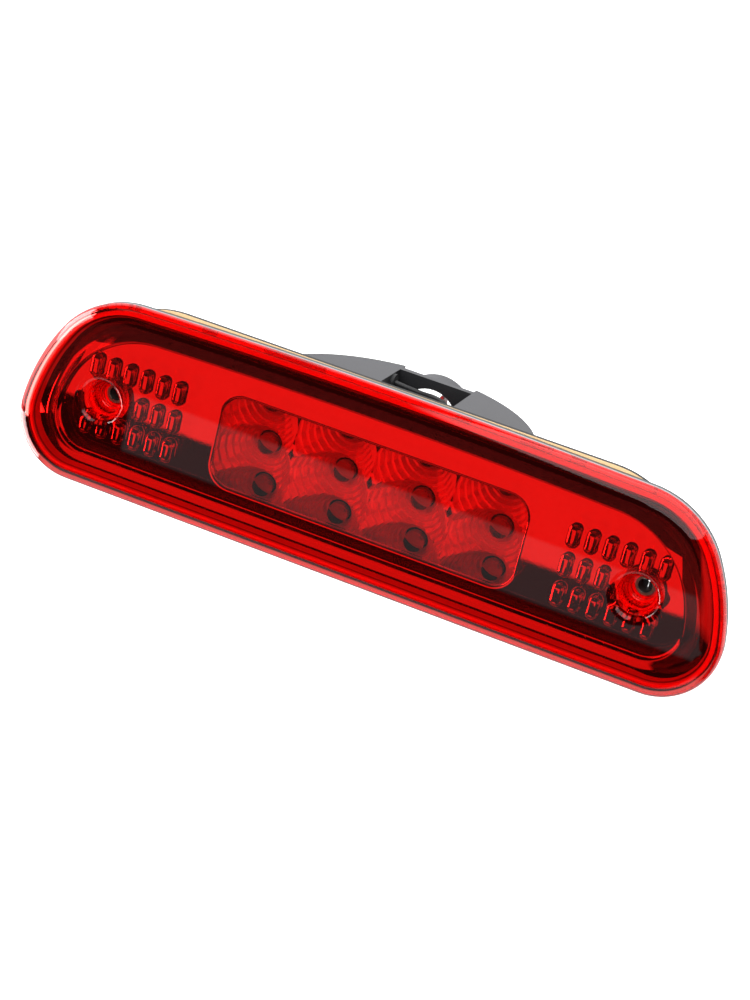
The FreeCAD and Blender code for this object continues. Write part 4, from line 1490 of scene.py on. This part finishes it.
@dataclass
class Studio:
    """World light, lamps, floor and camera."""

    inside: tuple[SoftBox, ...] = (
        # the band that the bezel's floor mirrors, with its sharp lower edge
        SoftBox(0, 0, (-1.0, 0.25), (-0.4, 0.02), 0.002, 1.0),
        # low and to the front left, for the treads of the bowls
        SoftBox(-23, -46, (-0.35, 0.3), (-0.13, 0.16), 0.05, 0.8),
        SoftBox(60, 0, (-0.5, 0.5), (-0.3, 0.4), 0.1, 0.6),
        # strong light on the left
        SoftBox(-90, 0, (-0.5, 0.35), (-0.5, 0.5), 0.02, 9.0),
        # bright table below and behind, and the backdrop
        SoftBox(180, -35, (-0.8, 0.8), (-0.6, 0.6), 0.2, 0.8),
        SoftBox(180, 30, (-0.8, 0.8), (-0.6, 0.6), 0.2, 0.5),
    )
    outside: tuple[SoftBox, ...] = (
        # the haze band across the lens front
        SoftBox(0, 0, (-0.42, 0.3), (-0.418, -0.389), 0.002, 0.5),
        # overhead panel that the lens's upper edge shows
        SoftBox(0, 90, (-0.26, 1.2), (-2.5, 1.0), 0.02, 2.0),
        # cards on the left with a dark gap between them
        SoftBox(-90, 0, (-0.62, 0.45), (0.0, 0.5), 0.01, 7.0),
        SoftBox(-90, 0, (-0.62, 0.45), (-0.38, 0.0), 0.01, 1.5),
        SoftBox(-90, 0, (-0.62, 0.45), (-1.2, -0.45), 0.01, 7.0),
        # white backdrop and table
        SoftBox(180, 0, (-1.5, 1.5), (-1.2, 0.9), 0.2, 1.0),
        SoftBox(0, -90, (-0.8, 0.8), (-0.8, 0.8), 0.2, 0.8),
    )
    lamps: tuple[Lamp, ...] = (
        Lamp("front_lamp", (-0.3, -1.2, 0.5), 0.8, 26.0),
        Lamp("right_lamp", (0.9, -0.7, 0.1), 0.8, 12.0),
        Lamp("low_lamp", (0.0, -0.8, -0.8), 0.8, 12.0),
        Lamp("top_lamp", (-0.2, 0.5, 1.0), 0.6, 9.0),
    )
    dim: float = 0.02
    floor_z: float = -0.35
    camera_place: Point = (0.2359, -0.8031, 0.3122)
    azimuth: float = math.radians(16.36)
    elevation: float = math.radians(20.89)
    roll: float = math.radians(14.04)
    lens: float = 88.72
    sensor: float = 36.0

    def box_group(self) -> bpy.types.NodeTree:
        """A node group that says how much of a soft box a direction sees."""
        tree = bpy.data.node_groups.new("Soft Box", "ShaderNodeTree")
        for label in ("Direction", "Forward", "Right", "Up"):
            tree.interface.new_socket(label, in_out="INPUT", socket_type="NodeSocketVector")
        for label in ("Left End", "Right End", "Low End", "High End", "Softness"):
            tree.interface.new_socket(label, in_out="INPUT", socket_type="NodeSocketFloat")
        tree.interface.new_socket("Mask", in_out="OUTPUT", socket_type="NodeSocketFloat")
        nodes = NodeTree(tree)
        source = nodes.add("NodeGroupInput")
        direction = source.outputs["Direction"]
        ahead = nodes.vector("DOT_PRODUCT", direction, source.outputs["Forward"]).outputs["Value"]
        safe = nodes.math("MAXIMUM", ahead, 0.0001)
        masks = [nodes.math("GREATER_THAN", ahead, 0.0)]
        for axis, low, high in (("Right", "Left End", "Right End"), ("Up", "Low End", "High End")):
            along = nodes.vector("DOT_PRODUCT", direction, source.outputs[axis]).outputs["Value"]
            ratio = nodes.math("DIVIDE", along, safe)
            band = nodes.group(self.band, Value=ratio, Low=source.outputs[low],
                               High=source.outputs[high], Softness=source.outputs["Softness"])
            masks.append(band.outputs["Mask"])
        product = nodes.math("MULTIPLY", nodes.math("MULTIPLY", masks[0], masks[1]), masks[2])
        result = nodes.add("NodeGroupOutput")
        tree.links.new(product, result.inputs["Mask"])
        return tree

    def world(self, effects: Effects) -> None:
        """Build the world light: soft boxes for reflections, plain white for the camera.

        Args:
            effects: The shared node groups.
        """
        self.band = effects.band
        world = bpy.data.worlds.new("studio")
        bpy.context.scene.world = world
        world.use_nodes = True
        nodes = NodeTree(world.node_tree)
        group = self.box_group()
        # The world's Generated coordinate is the direction of the ray.
        direction = nodes.add("ShaderNodeTexCoord").outputs["Generated"]
        path = nodes.add("ShaderNodeLightPath")
        depth = path.outputs["Transmission Depth"]
        within = nodes.math("GREATER_THAN", depth, 0.5)
        views = []
        for boxes in (self.outside, self.inside):
            total = self.dim
            for box in boxes:
                forward, right, up = box.basis()
                seen = nodes.group(group, Direction=direction, Forward=forward, Right=right,
                                   Up=up, Left_End=box.across[0], Right_End=box.across[1],
                                   Low_End=box.upright[0], High_End=box.upright[1],
                                   Softness=box.softness)
                light = nodes.math("MULTIPLY", seen.outputs["Mask"], box.strength)
                total = nodes.math("MAXIMUM", total, light)
            views.append(total)
        light = nodes.mix_colour(within, *views)
        shown = nodes.mix_colour(path.outputs["Is Camera Ray"], light, (1.0, 1.0, 1.0, 1.0))
        background = world.node_tree.nodes["Background"]
        nodes.tree.links.new(shown, background.inputs["Color"])

    def lights(self) -> None:
        """Area lights aimed at the lamp, unseen by mirrors and clear plastic."""
        for lamp in self.lamps:
            data = bpy.data.lights.new(lamp.name, "AREA")
            data.shape = "SQUARE"
            data.size = lamp.size
            data.energy = lamp.power
            light = bpy.data.objects.new(lamp.name, data)
            place = Vector(lamp.place)
            light.matrix_world = (
                Matrix.Translation(place) @ place.to_track_quat("Z", "Y").to_matrix().to_4x4()
            )
            light.visible_camera = False
            light.visible_glossy = False
            light.visible_transmission = False
            bpy.context.scene.collection.objects.link(light)

    def floor(self) -> None:
        """A plain pale floor well below the lamp."""
        bm = bmesh.new()
        half = 6.0
        square = [Vector((half * a, half * b, self.floor_z))
                  for a, b in ((-1, -1), (1, -1), (1, 1), (-1, 1))]
        bm.faces.new(add_ring(bm, square))
        piece = from_bmesh("floor", bm, 30)
        material, nodes, shader = start_material("floor_white")
        shader.inputs["Base Color"].default_value = (0.9, 0.9, 0.9, 1)
        shader.inputs["Roughness"].default_value = 0.9
        shader.inputs["Emission Color"].default_value = (1, 1, 1, 1)
        shader.inputs["Emission Strength"].default_value = 0.6
        piece.data.materials.append(material)
        piece.visible_glossy = False
        piece.visible_transmission = False
        piece.visible_diffuse = False

    def camera(self) -> None:
        """A long-lens camera above and to the right of the lamp, rolled to the left."""
        a, e, r = self.azimuth, self.elevation, self.roll
        back = Vector((math.sin(a) * math.cos(e), -math.cos(a) * math.cos(e), math.sin(e)))
        right = Vector((math.cos(a), math.sin(a), 0))
        up = Vector((-math.sin(a) * math.sin(e), math.cos(a) * math.sin(e), math.cos(e)))
        x_axis = right * math.cos(r) + up * math.sin(r)
        y_axis = up * math.cos(r) - right * math.sin(r)
        data = bpy.data.cameras.new("camera")
        data.lens = self.lens
        data.sensor_width = self.sensor
        data.clip_start = 0.01
        data.clip_end = 50.0
        camera = bpy.data.objects.new("camera", data)
        turn = Matrix((x_axis, y_axis, back)).transposed().to_4x4()
        camera.matrix_world = Matrix.Translation(Vector(self.camera_place)) @ turn
        bpy.context.scene.collection.objects.link(camera)
        bpy.context.scene.camera = camera

    def build(self, effects: Effects) -> None:
        """Make the camera, the floor and the light."""
        self.camera()
        self.floor()
        self.lights()
        self.world(effects)
        bpy.context.scene.view_settings.view_transform = "Standard"


def main() -> None:
    """Build the lamp in order."""
    logging.basicConfig(level=logging.INFO, format="%(message)s")
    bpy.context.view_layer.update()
    paint = Paintbox()
    Studio().build(paint.effects)
    Pigtail(paint).build()
    LensCover(paint).build()
    Bezel(paint).build()
    LedModule(paint).build()
    Rear(paint).build()
    ScrewRetainers(paint).build()


if __name__ == "__main__":
    main()
